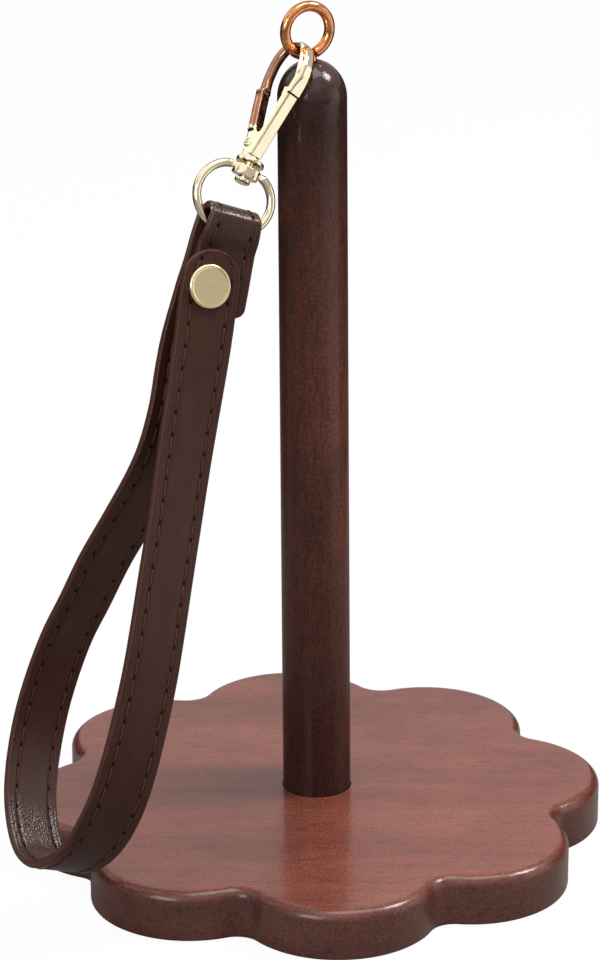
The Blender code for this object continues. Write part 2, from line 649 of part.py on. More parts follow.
def make_swivel_ring(finish):
    """An oval wire ring with a bored boss that turns on the hook's stem."""
    flat = np.cross(RING_ACROSS, RING_DOWN)
    path = []
    for angle in np.arange(RING_STEPS) * 2 * math.pi / RING_STEPS:
        across, down = RING_HALF_WIDTH * math.cos(angle), RING_HALF_HEIGHT * math.sin(angle)
        if down < 0:
            near = math.exp(-(across / BOSS_RADIUS) ** 2 * BOSS_REACH_SHARE)
            down += near * (RING_HALF_HEIGHT - BOSS_FROM_RING_CENTRE)
        path.append(RING_CENTRE + RING_ACROSS * across + RING_DOWN * down)
    looped = [path[-1]] + path + [path[0]]
    rings = wire_rings(looped, flat, [RING_WIRE_RADIUS] * len(looped), WIRE_SIDES)[1:-1]
    ring = add_object("swivel_ring", skin(rings, joined=True), finish, FLANGE)
    half = BOSS_HEIGHT / 2
    boss = turned_solid(
        [(BOSS_RADIUS - BOSS_EDGE_BREAK, -half), (BOSS_RADIUS, BOSS_EDGE_BREAK - half),
         (BOSS_RADIUS, half - BOSS_EDGE_BREAK), (BOSS_RADIUS - BOSS_EDGE_BREAK, half)],
        BOSS_CENTRE, RING_DOWN, RING_ACROSS, TURNED_SIDES)
    combine(ring, "boss_join", boss, "UNION")
    bore_radius = STEM_RADIUS + FIT + half * math.tan(RING_TILT)
    bore_half = half + CUT_OVERRUN
    bore = turned_solid([(bore_radius, -bore_half), (bore_radius, bore_half)],
                        BOSS_CENTRE, RING_DOWN, RING_ACROSS, WIRE_SIDES)
    combine(ring, "boss_bore_cut", bore, "DIFFERENCE")
    return ring


# The strap's middle line. Down is a share of the loop's length, back a share of its depth.
FRONT_RUN_SHARES = [
    (0.218, -0.111), (0.349, -0.130), (0.485, -0.167), (0.619, -0.204), (0.686, -0.215),
    (0.753, -0.204), (0.819, -0.174), (0.884, -0.104), (0.941, 0.052),
]
HEEL_SHARES = [
    (0.979, 0.237), (0.998, 0.444), (0.989, 0.630), (0.956, 0.774),
]
BACK_RUN_SHARES = [
    (0.900, 0.919), (0.829, 0.993), (0.761, 0.970), (0.662, 0.841), (0.594, 0.707),
    (0.528, 0.581), (0.460, 0.407), (0.393, 0.233), (0.345, 0.144), (0.282, 0.096),
    (0.220, 0.085),
]


def strap_route():
    """Middle line of the strip, down and back from the ring: tip, front run, heel, back run,
    over the ring and down to the tab's end."""
    seat = RIVET_CAP_RADIUS + FIT
    route = [(RIVET_FROM_RING - TIP_ABOVE_RIVET, FRONT_LAYER), (RIVET_FROM_RING, FRONT_LAYER),
             (RIVET_FROM_RING + seat, FRONT_LAYER)]
    for down, back in FRONT_RUN_SHARES + HEEL_SHARES + BACK_RUN_SHARES:
        route.append((down * LOOP_LENGTH, back * LOOP_DEPTH))
    route += [(RIVET_FROM_RING + seat, REAR_LAYER), (RIVET_FROM_RING, REAR_LAYER),
              (RIVET_FROM_RING - seat, REAR_LAYER)]
    for angle in np.linspace(0, FOLD_ENDS_AT, FOLD_STEPS):
        route.append((-FOLD_RISE - BACK_LAYER * math.sin(angle), BACK_LAYER * math.cos(angle)))
    settled = RIVET_FROM_RING - TIP_ABOVE_RIVET - FIT
    for share in TAB_SETTLING_SHARES:
        route.append((settled * share, MIDDLE_LAYER + (1 - share) * (MIDDLE_LAYER - REAR_LAYER)))
    route += [(RIVET_FROM_RING, MIDDLE_LAYER), (RIVET_FROM_RING + TAB_BELOW_RIVET, MIDDLE_LAYER)]
    return np.array(route)


def smooth_line(route):
    """Points on a smooth curve through the route, closer together where it bends."""
    ends = np.vstack([2 * route[0] - route[1], route, 2 * route[-1] - route[-2]])
    points = []
    for before, start, end, after in zip(ends, ends[1:], ends[2:], ends[3:]):
        length = np.linalg.norm(end - start)
        leaving = (end - before) * length / (length + np.linalg.norm(start - before))
        arriving = (after - start) * length / (length + np.linalg.norm(after - end))
        turn = math.acos(np.clip(unit(leaving) @ unit(arriving), -1, 1))
        count = max(1, math.ceil(length / STATION_SPACING), math.ceil(turn / STATION_TURN))
        for share in np.arange(count) / count:
            s2, s3 = share ** 2, share ** 3
            points.append(start * (2 * s3 - 3 * s2 + 1) + leaving * (s3 - 2 * s2 + share)
                          + end * (3 * s2 - 2 * s3) + arriving * (s3 - s2))
    points.append(route[-1])
    return np.array(points)


def rounded_half_width(distance, radius):
    """Half the strap's width at a distance from an end with rounded corners."""
    missing = max(0.0, radius - distance)
    return STRAP_WIDTH / 2 - radius + math.sqrt(max(0.0, radius ** 2 - missing ** 2))


def eased(share):
    """A share from none to all that starts and ends gently."""
    share = min(1.0, max(0.0, share))
    return share * share * (3 - 2 * share)


def strap_place(down, back, across=0.0, shift=-TAB_SHIFT):
    """A place on the strap, whose run twists a little on its way down to the heel."""
    twist = STRAP_TWIST * eased((down - TWIST_START) / (TWIST_END - TWIST_START))
    return (STRAP_HANG + STRAP_DOWN * down + STRAP_ACROSS * shift
            + turned(STRAP_BACK * back + STRAP_ACROSS * across, STRAP_DOWN, -twist))


def make_ply(name, offsets, finish):
    """One ply of the strip, between two offsets outward from its middle line."""
    line = smooth_line(strap_route())
    steps = np.linalg.norm(np.diff(line, axis=0), axis=1)
    reached = np.concatenate([[0], np.cumsum(steps)])
    tip_end, tab_start = STRAP_TIP_LENGTH, reached[-1] - TAB_CORNER
    stations = np.concatenate([
        STRAP_TIP_LENGTH * np.array(TIP_CORNER_SHARES),
        reached[(reached > tip_end) & (reached < tab_start)],
        reached[-1] - TAB_CORNER * np.array(TAB_CORNER_SHARES[::-1])])
    folds_at = reached[np.argmin(line[:, 0])]
    keep = [stations[0]]
    for station in stations[1:]:
        if station - keep[-1] > STATION_LEAST:
            keep.append(station)
    middle = np.column_stack([np.interp(keep, reached, line[:, axis]) for axis in (0, 1)])
    tangents = np.gradient(middle, axis=0)
    rings = []
    for station, (down, back), way in zip(keep, middle, tangents):
        outward = unit([way[1], -way[0]])
        shift = TAB_SHIFT * (eased((station - folds_at) / SHIFT_LENGTH + 1) - 1)
        half = min(rounded_half_width(station, STRAP_TIP_LENGTH),
                   rounded_half_width(reached[-1] - station, TAB_CORNER))
        near = math.exp(-((station - folds_at) / SQUEEZE_LENGTH) ** 2)
        half -= near * (STRAP_WIDTH - FOLD_WIDTH) / 2
        corners = [(offsets[0], -half), (offsets[0], half), (offsets[1], half), (offsets[1], -half)]
        rings.append(np.array([
            strap_place(down + outward[0] * offset, back + outward[1] * offset, across, shift)
            for offset, across in corners]))
    ply = add_object(name, skin(rings), finish, STRAP_HANG, smooth=STRAP_EDGE_SHOWS_ABOVE)
    bore = RIVET_TUBE_RADIUS + FIT
    hole = turned_solid([(bore, -RIVET_HOLE_REACH), (bore, RIVET_HOLE_REACH)],
                        strap_place(RIVET_FROM_RING, 0), STRAP_BACK, STRAP_ACROSS, WIRE_SIDES)
    combine(ply, name + "_hole_cut", hole, "DIFFERENCE")
    return ply


def make_rivet(finish):
    """The cap with its bored tube, and the post with its own cap, pressed together."""
    rear_face = REAR_LAYER + STRAP_THICKNESS / 2
    front_face = FRONT_LAYER - STRAP_THICKNESS / 2
    front_seat, rear_seat = front_face - FIT, rear_face + FIT
    middle = strap_place(RIVET_FROM_RING, 0)

    def dome(seat, side):
        points = [(RIVET_CAP_RADIUS, seat), (RIVET_CAP_RADIUS, seat + side * RIVET_RIM)]
        for angle in RIVET_DOME_ANGLES:
            points.append((RIVET_CAP_RADIUS * math.cos(angle),
                           seat + side * (RIVET_RIM + (RIVET_CAP_HEIGHT - RIVET_RIM)
                                          * math.sin(angle))))
        return points + [(0, seat + side * RIVET_CAP_HEIGHT)]

    cap = list(reversed(dome(front_seat, -1)))
    cap += [(RIVET_TUBE_RADIUS, front_seat), (RIVET_TUBE_RADIUS, rear_face),
            (RIVET_BORE_RADIUS, rear_face), (RIVET_BORE_RADIUS, front_face), (0, front_face)]
    post = [(0, front_face + FIT), (RIVET_PIN_RADIUS, front_face + FIT + RIVET_PIN_POINT),
            (RIVET_PIN_RADIUS, rear_seat)] + dome(rear_seat, 1)
    for name, profile in (("rivet_cap", cap), ("rivet_post", post)):
        add_object(name, turned_solid(profile, middle, STRAP_BACK, STRAP_ACROSS, TURNED_SIDES),
                   finish, middle)


def main():
    for item in list(bpy.data.objects):
        bpy.data.objects.remove(item, do_unlink=True)
    foot_wood = material("reddish_foot_wood", (0.115, 0.034, 0.020), 0.38, 0)
    post_wood = material("dark_post_wood", (0.035, 0.015, 0.011), 0.45, 0)
    copper = material("copper_plate", (0.72, 0.38, 0.25), 0.28, 1)
    steel = material("zinc_steel", (0.55, 0.55, 0.56), 0.40, 1)
    pale_gold = material("pale_gold_plate", (0.78, 0.66, 0.50), 0.25, 1)
    leather = material("dark_brown_leather", (0.045, 0.020, 0.014), 0.50, 0)
    make_base(foot_wood)
    make_post(post_wood)
    make_dowel_screw(steel)
    make_screw_eye(copper)
    make_clasp_hook(pale_gold)
    make_clasp_gate(pale_gold)
    make_gate_pin(pale_gold)
    make_gate_spring(steel)
    make_swivel_ring(pale_gold)
    inner, outer = FIT / 2, STRAP_THICKNESS / 2
    make_ply("strap_face", (inner, outer), leather)
    make_ply("strap_lining", (-outer, -inner), leather)
    make_rivet(pale_gold)


main()
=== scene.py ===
"""Yarn ball holder: the detailed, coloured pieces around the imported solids, with a pale studio."""

import math

import bmesh
import bpy
import numpy as np
from mathutils import Matrix, Vector


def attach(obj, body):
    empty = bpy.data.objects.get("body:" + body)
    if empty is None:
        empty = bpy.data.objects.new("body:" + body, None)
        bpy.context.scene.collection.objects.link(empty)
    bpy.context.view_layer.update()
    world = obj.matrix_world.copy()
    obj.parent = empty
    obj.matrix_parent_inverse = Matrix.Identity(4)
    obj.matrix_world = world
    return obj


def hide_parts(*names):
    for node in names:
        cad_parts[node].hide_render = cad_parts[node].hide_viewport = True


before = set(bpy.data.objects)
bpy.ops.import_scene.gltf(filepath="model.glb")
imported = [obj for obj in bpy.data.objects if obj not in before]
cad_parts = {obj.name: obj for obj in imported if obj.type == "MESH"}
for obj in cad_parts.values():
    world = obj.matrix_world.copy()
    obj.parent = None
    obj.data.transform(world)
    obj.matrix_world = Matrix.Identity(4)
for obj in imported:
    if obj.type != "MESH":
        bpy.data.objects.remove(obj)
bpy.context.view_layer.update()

MM = 0.001
UP = np.array([0.0, 0.0, 1.0])

# Sizes in metres, as the source of the solids has them
FIT = 0.0003
BASE_RADIUS = 0.0575
BASE_THICKNESS = 0.0100
PETALS = 8
PETAL_RADIUS = 0.0194
NOTCH_RADIUS = 0.0046
BASE_TOP_ROUND = 0.0022
BASE_BOTTOM_ROUND = 0.0008
FIRST_PETAL_ANGLE = math.radians(-83.15)
POST_TOP = 0.1575
MORTISE_DEPTH = 0.0030
DOWEL_RADIUS = 0.0020
DOWEL_IN_POST = 0.0150
DOWEL_IN_BASE = 0.0045
EYE_WIRE_RADIUS = 0.0010
EYE_RING_RADIUS = 0.0046
EYE_BEND_RADIUS = 0.0012
EYE_OFFSET = 0.0009
EYE_SEAT_RADIUS = 0.0019
EYE_SEAT_DEPTH = 0.0005
EYE_SUNK = 0.0002
EYE_SHANK_DEPTH = 0.0135
EYE_POINT = 0.0020
EYE_YAW = math.radians(27.0)
EYE_END_ANGLE = math.radians(249.0)
CONTACT_ANGLE = math.radians(-62.0)
CLASP_LENGTH = 0.02350
CLASP_LEAN = math.radians(40.5)
CLASP_HEADING = math.radians(-125.5)
CLASP_TURN = math.radians(-58.0)
HOOK_HEIGHT = 0.0256
HOOK_REACH = 0.0056
FLANGE_RADIUS = 0.0027
FLANGE_THICKNESS = 0.0008
STEM_RADIUS = 0.0008
STEM_HEAD_RADIUS = 0.0015
STEM_HEAD_HEIGHT = 0.0008
PIN_ACROSS = -0.0013
PIN_UP = 0.0040
GATE_SHEET = 0.0003
GATE_HALF_WIDTH = 0.00135
GATE_FOOT_ACROSS = 0.0009
GATE_FOOT_UP = 0.0018
GATE_TOP_ACROSS = 0.0041
GATE_TOP_UP = 0.0144
GATE_EAR_RADIUS = 0.00135
GATE_CHEEK_DEPTH = 0.0012
GATE_TONGUE_ACROSS = 0.0028
GATE_TONGUE_LENGTH = 0.0016
GATE_TONGUE_NARROWING = 0.0006
RING_WIRE_RADIUS = 0.00082
RING_HALF_WIDTH = 0.0073
RING_HALF_HEIGHT = 0.0064
BOSS_RADIUS = 0.0019
BOSS_HEIGHT = 0.0020
BOSS_FROM_RING_CENTRE = 0.0052
RING_TILT = math.radians(8.0)
RING_HEADING = math.radians(14.0)
RING_DIP = math.radians(21.5)
FOLD_WIDTH = 0.0098
SQUEEZE_LENGTH = 0.0060
STRAP_THICKNESS = 0.0015
STRAP_HEADING = math.radians(20.9)
STRAP_DIP = math.radians(18.0)
STRAP_LEAN = math.radians(-14.0)
HANG_SLIDE = -0.0003
TAB_SHIFT = 0.0029
SHIFT_LENGTH = 0.0300
FOLD_RADIUS = 0.0020
FOLD_RISE = 0.0010
LOOP_LENGTH = 0.1225
LOOP_DEPTH = 0.0270
LAYERS_FORWARD = 0.00165
TIP_ABOVE_RIVET = 0.0070
TAB_BELOW_RIVET = 0.0047
STRAP_TIP_LENGTH = 0.0060
TAB_CORNER = 0.0020
RIVET_FROM_RING = 0.0114
RIVET_CAP_RADIUS = 0.0041
RIVET_TUBE_RADIUS = 0.0015

# Sizes that stay a little inside the solids, to follow the photograph's outline
POST_RADIUS = 0.0067
POST_NARROWING = 0.00015
POST_SET_ACROSS = 0.0008
POST_DOME_HEIGHT = 0.0072
POST_DOME_BELOW_TOP = 0.0002
STRAP_WIDTH = 0.0117
FACE_CAP_HEIGHT = 0.0011
REAR_CAP_RADIUS = 0.0037
REAR_CAP_HEIGHT = 0.0009


def unit(vector):
    vector = np.asarray(vector, float)
    return vector / np.linalg.norm(vector)


def square_to(vector, axis):
    """The part of a vector that is square to an axis, at length one."""
    return unit(vector - axis * (vector @ axis))


def turned(vector, axis, angle):
    """The vector turned about a unit axis."""
    along = axis * (axis @ vector) * (1 - math.cos(angle))
    return vector * math.cos(angle) + np.cross(axis, vector) * math.sin(angle) + along


def heading_dip(heading, dip):
    """A direction from its compass angle and its angle below the horizontal."""
    flat = math.cos(dip)
    return np.array([flat * math.cos(heading), flat * math.sin(heading), -math.sin(dip)])


def boxy_circle(count, boxiness):
    """Two rows of coordinates round a circle; it is round at 2 and squarer above."""
    angles = np.arange(count) * (2 * math.pi / count)
    return [np.sign(wave) * np.abs(wave) ** (2 / boxiness)
            for wave in (np.cos(angles), np.sin(angles))]


def oval(centre, first, second, count, boxiness=2.0):
    """A closed ring of points; first and second are its half axes."""
    across, along = boxy_circle(count, boxiness)
    return centre + np.outer(across, first) + np.outer(along, second)


def arc(first, second, radius, angles):
    """Pairs of places on an arc whose middle is at the first two values."""
    return [(first + radius * math.cos(angle), second + radius * math.sin(angle))
            for angle in angles]


def eased(share):
    """A share from none to one that starts and ends gently."""
    share = min(1.0, max(0.0, share))
    return share * share * (3 - 2 * share)


def nearness(distance, reach):
    """One at a place, and softly less on both sides of it."""
    return np.exp(-(distance / reach) ** 2)


def skin(rings, joined=False):
    """Points and faces over a row of rings. A ring of one point closes to a tip."""
    points = np.concatenate([np.atleast_2d(ring) for ring in rings])
    sizes = [len(np.atleast_2d(ring)) for ring in rings]
    starts = np.cumsum([0] + sizes)
    last = len(rings) - 1
    faces = []
    for low in range(len(rings) if joined else last):
        high = (low + 1) % len(rings)
        for step in range(max(sizes[low], sizes[high])):
            corners = [int(starts[ring]) + (step + ahead) % sizes[ring]
                       for ring, ahead in ((low, 0), (low, 1), (high, 1), (high, 0))]
            faces.append(list(dict.fromkeys(corners)))
    for end in () if joined else (0, last):
        if sizes[end] > 1:
            faces.append([int(starts[end]) + step for step in range(sizes[end])])
    return points, faces


def new_object(name, data):
    """An object in the scene that shows a mesh, a lamp or a camera."""
    made = bpy.data.objects.new(name, data)
    bpy.context.scene.collection.objects.link(made)
    return made


def piece(name, surface, finish, body, stands_for=(), sharp=35, uv=None):
    """A piece of the object, made of points and faces, that rides on a body."""
    points, faces = surface
    mesh = bpy.data.meshes.new(name)
    mesh.from_pydata([tuple(point) for point in points], [], faces)
    if uv is not None:
        layer = mesh.uv_layers.new(name="UVMap")
        for loop in mesh.loops:
            layer.data[loop.index].uv = uv[loop.vertex_index]
    shell = bmesh.new()
    shell.from_mesh(mesh)
    bmesh.ops.recalc_face_normals(shell, faces=shell.faces)
    shell.to_mesh(mesh)
    shell.free()
    mesh.shade_smooth()
    mesh.set_sharp_from_angle(angle=math.radians(sharp))
    mesh.materials.append(finish)
    made = new_object(name, mesh)
    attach(made, body)
    if stands_for:
        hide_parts(*stands_for)
    return made


def lathe(profile, centre, axis, first, count):
    """A turned shape from pairs of radius and distance along the axis."""
    second = np.cross(axis, first)
    rings = []
    for radius, along in profile:
        middle = centre + axis * along
        rings.append(oval(middle, first * radius, second * radius, count) if radius else middle)
    return skin(rings)


def together(surfaces):
    """One surface out of several."""
    points, faces, start = [], [], 0
    for some_points, some_faces in surfaces:
        points.append(some_points)
        faces += [[start + corner for corner in face] for face in some_faces]
        start += len(some_points)
    return np.concatenate(points), faces


def neighbours(rows):
    """Each stretch between two rows, with the row before it and the row after it."""
    rows = np.vstack([2 * rows[0] - rows[1], rows, 2 * rows[-1] - rows[-2]])
    return zip(rows, rows[1:], rows[2:], rows[3:])


def curve_point(start, leaving, end, arriving, share):
    """A place on a smooth curve, from its two ends and its way at each of them."""
    s2, s3 = share ** 2, share ** 3
    return (start * (2 * s3 - 3 * s2 + 1) + leaving * (s3 - 2 * s2 + share)
            + end * (3 * s2 - 2 * s3) + arriving * (s3 - s2))


def smoothed(rows, per_step):
    """Rows on a smooth curve through the given rows."""
    rows = np.asarray(rows, float)
    found = [curve_point(start, (end - before) / 2, end, (after - start) / 2, share)
             for before, start, end, after in neighbours(rows)
             for share in np.arange(per_step) / per_step]
    return np.array(found + [rows[-1]])


# ---------- materials ----------

def new_material(name):
    made = bpy.data.materials.new(name)
    made.use_nodes = True
    return made, made.node_tree, made.node_tree.nodes["Principled BSDF"]


def add_node(tree, kind, **values):
    """A node with some of its inputs or settings given."""
    made = tree.nodes.new(kind)
    for key, value in values.items():
        if key in made.inputs:
            made.inputs[key].default_value = value
        else:
            setattr(made, key, value)
    return made


def feed(tree, node, inputs):
    """Gives some of a node's inputs a number or another node's output."""
    for name, value in inputs.items():
        if isinstance(value, (int, float)):
            node.inputs[name].default_value = value
        else:
            tree.links.new(value, node.inputs[name])


def mapped(tree, source, scale, output="Object", turn=(0.0, 0.0, 0.0)):
    """Texture coordinates stretched by a scale on each axis."""
    coordinates = tree.nodes.new("ShaderNodeTexCoord")
    mapping = add_node(tree, "ShaderNodeMapping", Scale=scale, Rotation=turn)
    feed(tree, mapping, {"Vector": coordinates.outputs[output]})
    feed(tree, source, {"Vector": mapping.outputs["Vector"]})


def noise(tree, scale, detail, roughness, output="Object", turn=(0.0, 0.0, 0.0),
          distortion=0.0):
    made = add_node(tree, "ShaderNodeTexNoise", Scale=1.0, Detail=detail, Roughness=roughness,
                    Distortion=distortion)
    mapped(tree, made, scale, output, turn)
    return made.outputs["Fac"]


def split(tree, vector):
    """The outputs X, Y and Z of a vector."""
    made = tree.nodes.new("ShaderNodeSeparateXYZ")
    feed(tree, made, {"Vector": vector})
    return made.outputs


def ramp(tree, source, stops):
    """Colours at some places between none and one."""
    made = tree.nodes.new("ShaderNodeValToRGB")
    colours = made.color_ramp
    while len(colours.elements) < len(stops):
        colours.elements.new(0.5)
    for element, (place, colour) in zip(colours.elements, stops):
        element.position = place
        element.color = (*colour, 1.0)
    feed(tree, made, {"Fac": source})
    return made.outputs["Color"]


def grey_ramp(tree, source, stops):
    return ramp(tree, source, [(place, (value, value, value)) for place, value in stops])


def blend_colours(tree, share, first, second, mode="MIX"):
    made = add_node(tree, "ShaderNodeMix", data_type="RGBA", blend_type=mode)
    for socket, value in (("Factor", share), ("A", first), ("B", second)):
        found = [s for s in made.inputs if s.name == socket and s.enabled][0]
        if isinstance(value, (int, float)):
            found.default_value = value
        elif isinstance(value, tuple):
            found.default_value = (*value, 1.0)
        else:
            tree.links.new(value, found)
    return [s for s in made.outputs if s.enabled][0]


def bump(tree, height, distance, strength, after=None):
    """A bumped normal; after is the normal that it adds to."""
    made = add_node(tree, "ShaderNodeBump", Strength=strength, Distance=distance)
    feed(tree, made, {"Height": height} if after is None else {"Height": height, "Normal": after})
    return made.outputs["Normal"]


# The post's colour, darker towards its foot and towards its top, and its lacquer, from its foot, at
# 0, to its top, at 1
POST_DARKER_ENDS = [(0.06, 0.32), (0.30, 0.74), (0.55, 1.05), (0.78, 0.74), (0.85, 0.57), (0.93, 0.32)]
POST_COAT = [(0.93, 0.22), (0.965, 0.66)]
# The foot's painted shade and lacquer from its upright side, at 0, over its rim to its flat top, at
# 1
# Its side and its rim are painted darker than its flat top, as shade
FOOT_PAINTED_SHADE = [(0.10, (0.50, 0.54, 0.58)), (0.35, (0.48, 0.46, 0.44)), (0.92, (0.62, 0.48, 0.38)),
              (0.997, (1.0, 1.0, 1.0))]
FOOT_COAT = [(0.90, 0.50), (0.99, 0.88)]


def wood_material(name, dark, middle, light, along, rough_low, rough_high, gloss):
    """Straight stained grain under satin lacquer; along is the grain's axis, 0 or 2."""
    made, tree, shader = new_material(name)
    turn = (0.0, 0.0, math.radians(-7.0)) if along == 0 else (0.0, 0.0, 0.0)

    def grain(lengthwise, crosswise, detail, roughness, distortion=0.0):
        scale = [lengthwise if axis == along else crosswise for axis in range(3)]
        return noise(tree, scale, detail, roughness, turn=turn, distortion=distortion)

    bands = grain(18.0, 70.0, 3.0, 0.55, 0.4)
    streaks = grain(22.0, 480.0, 6.0, 0.65, 0.25)
    pores = grain(240.0, 1900.0, 2.0, 0.5)
    speckle = noise(tree, [1900.0] * 3, 4.0, 0.75)
    blotches = noise(tree, [55.0] * 3, 4.0, 0.6, distortion=0.6)
    colour = ramp(tree, bands, [(0.30, dark), (0.52, middle), (0.72, light)])
    for share, source, stops in (
            (0.32, streaks, [(0.30, 0.50), (0.62, 1.0)]),
            (0.40, pores, [(0.36, 0.35), (0.47, 1.0)]),
            (0.85, speckle, [(0.36, 0.45), (0.62, 1.3)]),
            (0.50, blotches, [(0.32, 0.66), (0.66, 1.14)])):
        colour = blend_colours(tree, share, colour, grey_ramp(tree, source, stops), "MULTIPLY")
    if along == 2:
        # The post: its colour is darker towards its foot and towards its top
        coordinates = tree.nodes.new("ShaderNodeTexCoord")
        level = tree.nodes.new("ShaderNodeMapRange")
        height = split(tree, coordinates.outputs["Object"])["Z"]
        feed(tree, level, {"From Max": POST_TOP, "Value": height})
        darkening = grey_ramp(tree, level.outputs["Result"], POST_DARKER_ENDS)
        coat = grey_ramp(tree, level.outputs["Result"], POST_COAT)
    else:
        # The foot: its upright side and its rim are painted darker than its flat top, as painted
        # shade
        facing = tree.nodes.new("ShaderNodeNewGeometry")
        flatness = split(tree, facing.outputs["Normal"])["Z"]
        darkening = ramp(tree, flatness, FOOT_PAINTED_SHADE)
        coat = grey_ramp(tree, flatness, FOOT_COAT)
    colour = blend_colours(tree, 1.0, colour, darkening, "MULTIPLY")
    rough = grey_ramp(tree, speckle, [(0.35, rough_low), (0.65, rough_high)])
    dents = bump(tree, noise(tree, [650.0] * 3, 3.0, 0.6), 0.00012, 0.42)
    coat_relief = bump(tree, speckle, 0.00008, 0.14, dents)
    relief = bump(tree, pores, 0.00008, 0.40, bump(tree, speckle, 0.00008, 0.45))
    feed(tree, shader, {"Base Color": colour, "Roughness": rough, "Specular IOR Level": gloss,
                        "Coat Weight": coat, "Coat Roughness": 0.085,
                        "Coat Normal": coat_relief, "Normal": relief})
    return made


def metal_material(name, colour, roughness, unevenness=0.25, dents=0.25):
    """Plated metal with slightly uneven colour and gloss."""
    made, tree, shader = new_material(name)
    cloud = noise(tree, [900.0] * 3, 3.0, 0.6)
    fine = noise(tree, [5200.0] * 3, 2.0, 0.5)
    darker = tuple(value * (1 - unevenness) for value in colour)
    shade = ramp(tree, cloud, [(0.35, darker), (0.62, colour)])
    rough = grey_ramp(tree, fine, [(0.3, roughness), (0.7, roughness * 1.6)])
    feed(tree, shader, {"Base Color": shade, "Metallic": 1.0, "Roughness": rough,
                        "Normal": bump(tree, cloud, 0.00002, dents)})
    return made


def leather_material(name, colour, light, roughness):
    """Smooth dyed leather with a fine pebble grain. Its mesh says where its rolled edges are
    lighter, where painted shade darkens it along its stitched grooves and where it is polished, in
    the three parts of the attribute edges_seam_shade_gloss."""
    made, tree, shader = new_material(name)
    cells = add_node(tree, "ShaderNodeTexVoronoi", Scale=1.0, feature="F1")
    mapped(tree, cells, (2.6, 3.2, 3.0), "UV")
    fine = noise(tree, (6.0, 8.0, 6.0), 3.0, 0.6, "UV")
    broad = noise(tree, (0.10, 0.28, 0.2), 3.0, 0.55, "UV")
    edges_seam_shade_gloss = add_node(tree, "ShaderNodeAttribute", attribute_name="edges_seam_shade_gloss")
    edges_seam_shade_gloss = split(tree, edges_seam_shade_gloss.outputs["Vector"])
    shade = ramp(tree, broad, [(0.32, colour), (0.70, light)])
    grain = grey_ramp(tree, fine, [(0.35, 0.62), (0.62, 1.08)])
    shade = blend_colours(tree, 0.45, shade, grain, "MULTIPLY")
    # A lighter colour on the rolled edges
    lighter_edge = tuple(value * 1.5 for value in light)
    # Painted shade: the leather is darker along its stitched grooves
    painted_seam_shade = tuple(value * 0.78 for value in colour)
    shade = blend_colours(tree, edges_seam_shade_gloss["X"], shade, lighter_edge)
    shade = blend_colours(tree, edges_seam_shade_gloss["Y"], shade, painted_seam_shade)
    rough = grey_ramp(tree, fine, [(0.3, roughness), (0.7, roughness + 0.14)])
    coat = grey_ramp(tree, edges_seam_shade_gloss["Z"], [(0.0, 0.32), (1.0, 1.0)])
    relief = bump(tree, fine, 0.00006, 0.40, bump(tree, cells.outputs["Distance"], 0.00012, 0.40))
    relief = bump(tree, broad, 0.0003, 0.25, relief)
    feed(tree, shader, {"Base Color": shade, "Roughness": rough, "Specular IOR Level": 0.06,
                        "Coat Weight": coat, "Coat Roughness": 0.17, "Coat Normal": relief,
                        "Normal": relief})
    return made


def thread_material(name, dark, light, roughness):
    """A dull, uneven surface, for thread and for the painted shade of a needle's hole."""
    made, tree, shader = new_material(name)
    grain = noise(tree, [2500.0] * 3, 3.0, 0.6)
    feed(tree, shader, {"Base Color": ramp(tree, grain, [(0.3, dark), (0.7, light)]),
                        "Roughness": roughness, "Specular IOR Level": 0.15,
                        "Normal": bump(tree, grain, 0.00004, 0.4)})
    return made


FOOT_WOOD = wood_material("foot_wood", (0.195, 0.048, 0.029), (0.266, 0.068, 0.042),
                          (0.318, 0.088, 0.055), 0, 0.30, 0.46, 0.34)
POST_WOOD = wood_material("post_wood", (0.095, 0.030, 0.021), (0.150, 0.048, 0.033),
                          (0.190, 0.062, 0.043), 2, 0.34, 0.48, 0.15)
COPPER = metal_material("copper_plate", (0.86, 0.34, 0.14), 0.12)
PALE_GOLD = metal_material("pale_gold_plate", (0.97, 0.84, 0.60), 0.055, 0.08, 0.12)
# A darker, rose-tinted copy of the pale gold plate, as painted shade on the hook's spine and arm
PAINTED_SHADE_PLATE = metal_material("painted_shade_plate", (0.42, 0.21, 0.13), 0.12, 0.30)
CAP_GOLD = metal_material("cap_gold_plate", (0.90, 0.77, 0.45), 0.17, 0.05, 0.06)
STEEL = metal_material("plain_steel", (0.58, 0.58, 0.60), 0.25)
LEATHER = leather_material("strap_leather", (0.045, 0.0150, 0.0095), (0.059, 0.0208, 0.0133),
                           0.32)
THREAD = thread_material("stitch_thread", (0.080, 0.024, 0.018), (0.140, 0.050, 0.038), 0.60)
# Near-black painted shade for the inside of a needle's hole
PAINTED_HOLE_SHADE = thread_material("stitch_hole", (0.003, 0.0015, 0.001), (0.006, 0.003, 0.002), 0.9)


# ---------- shared directions and places ----------

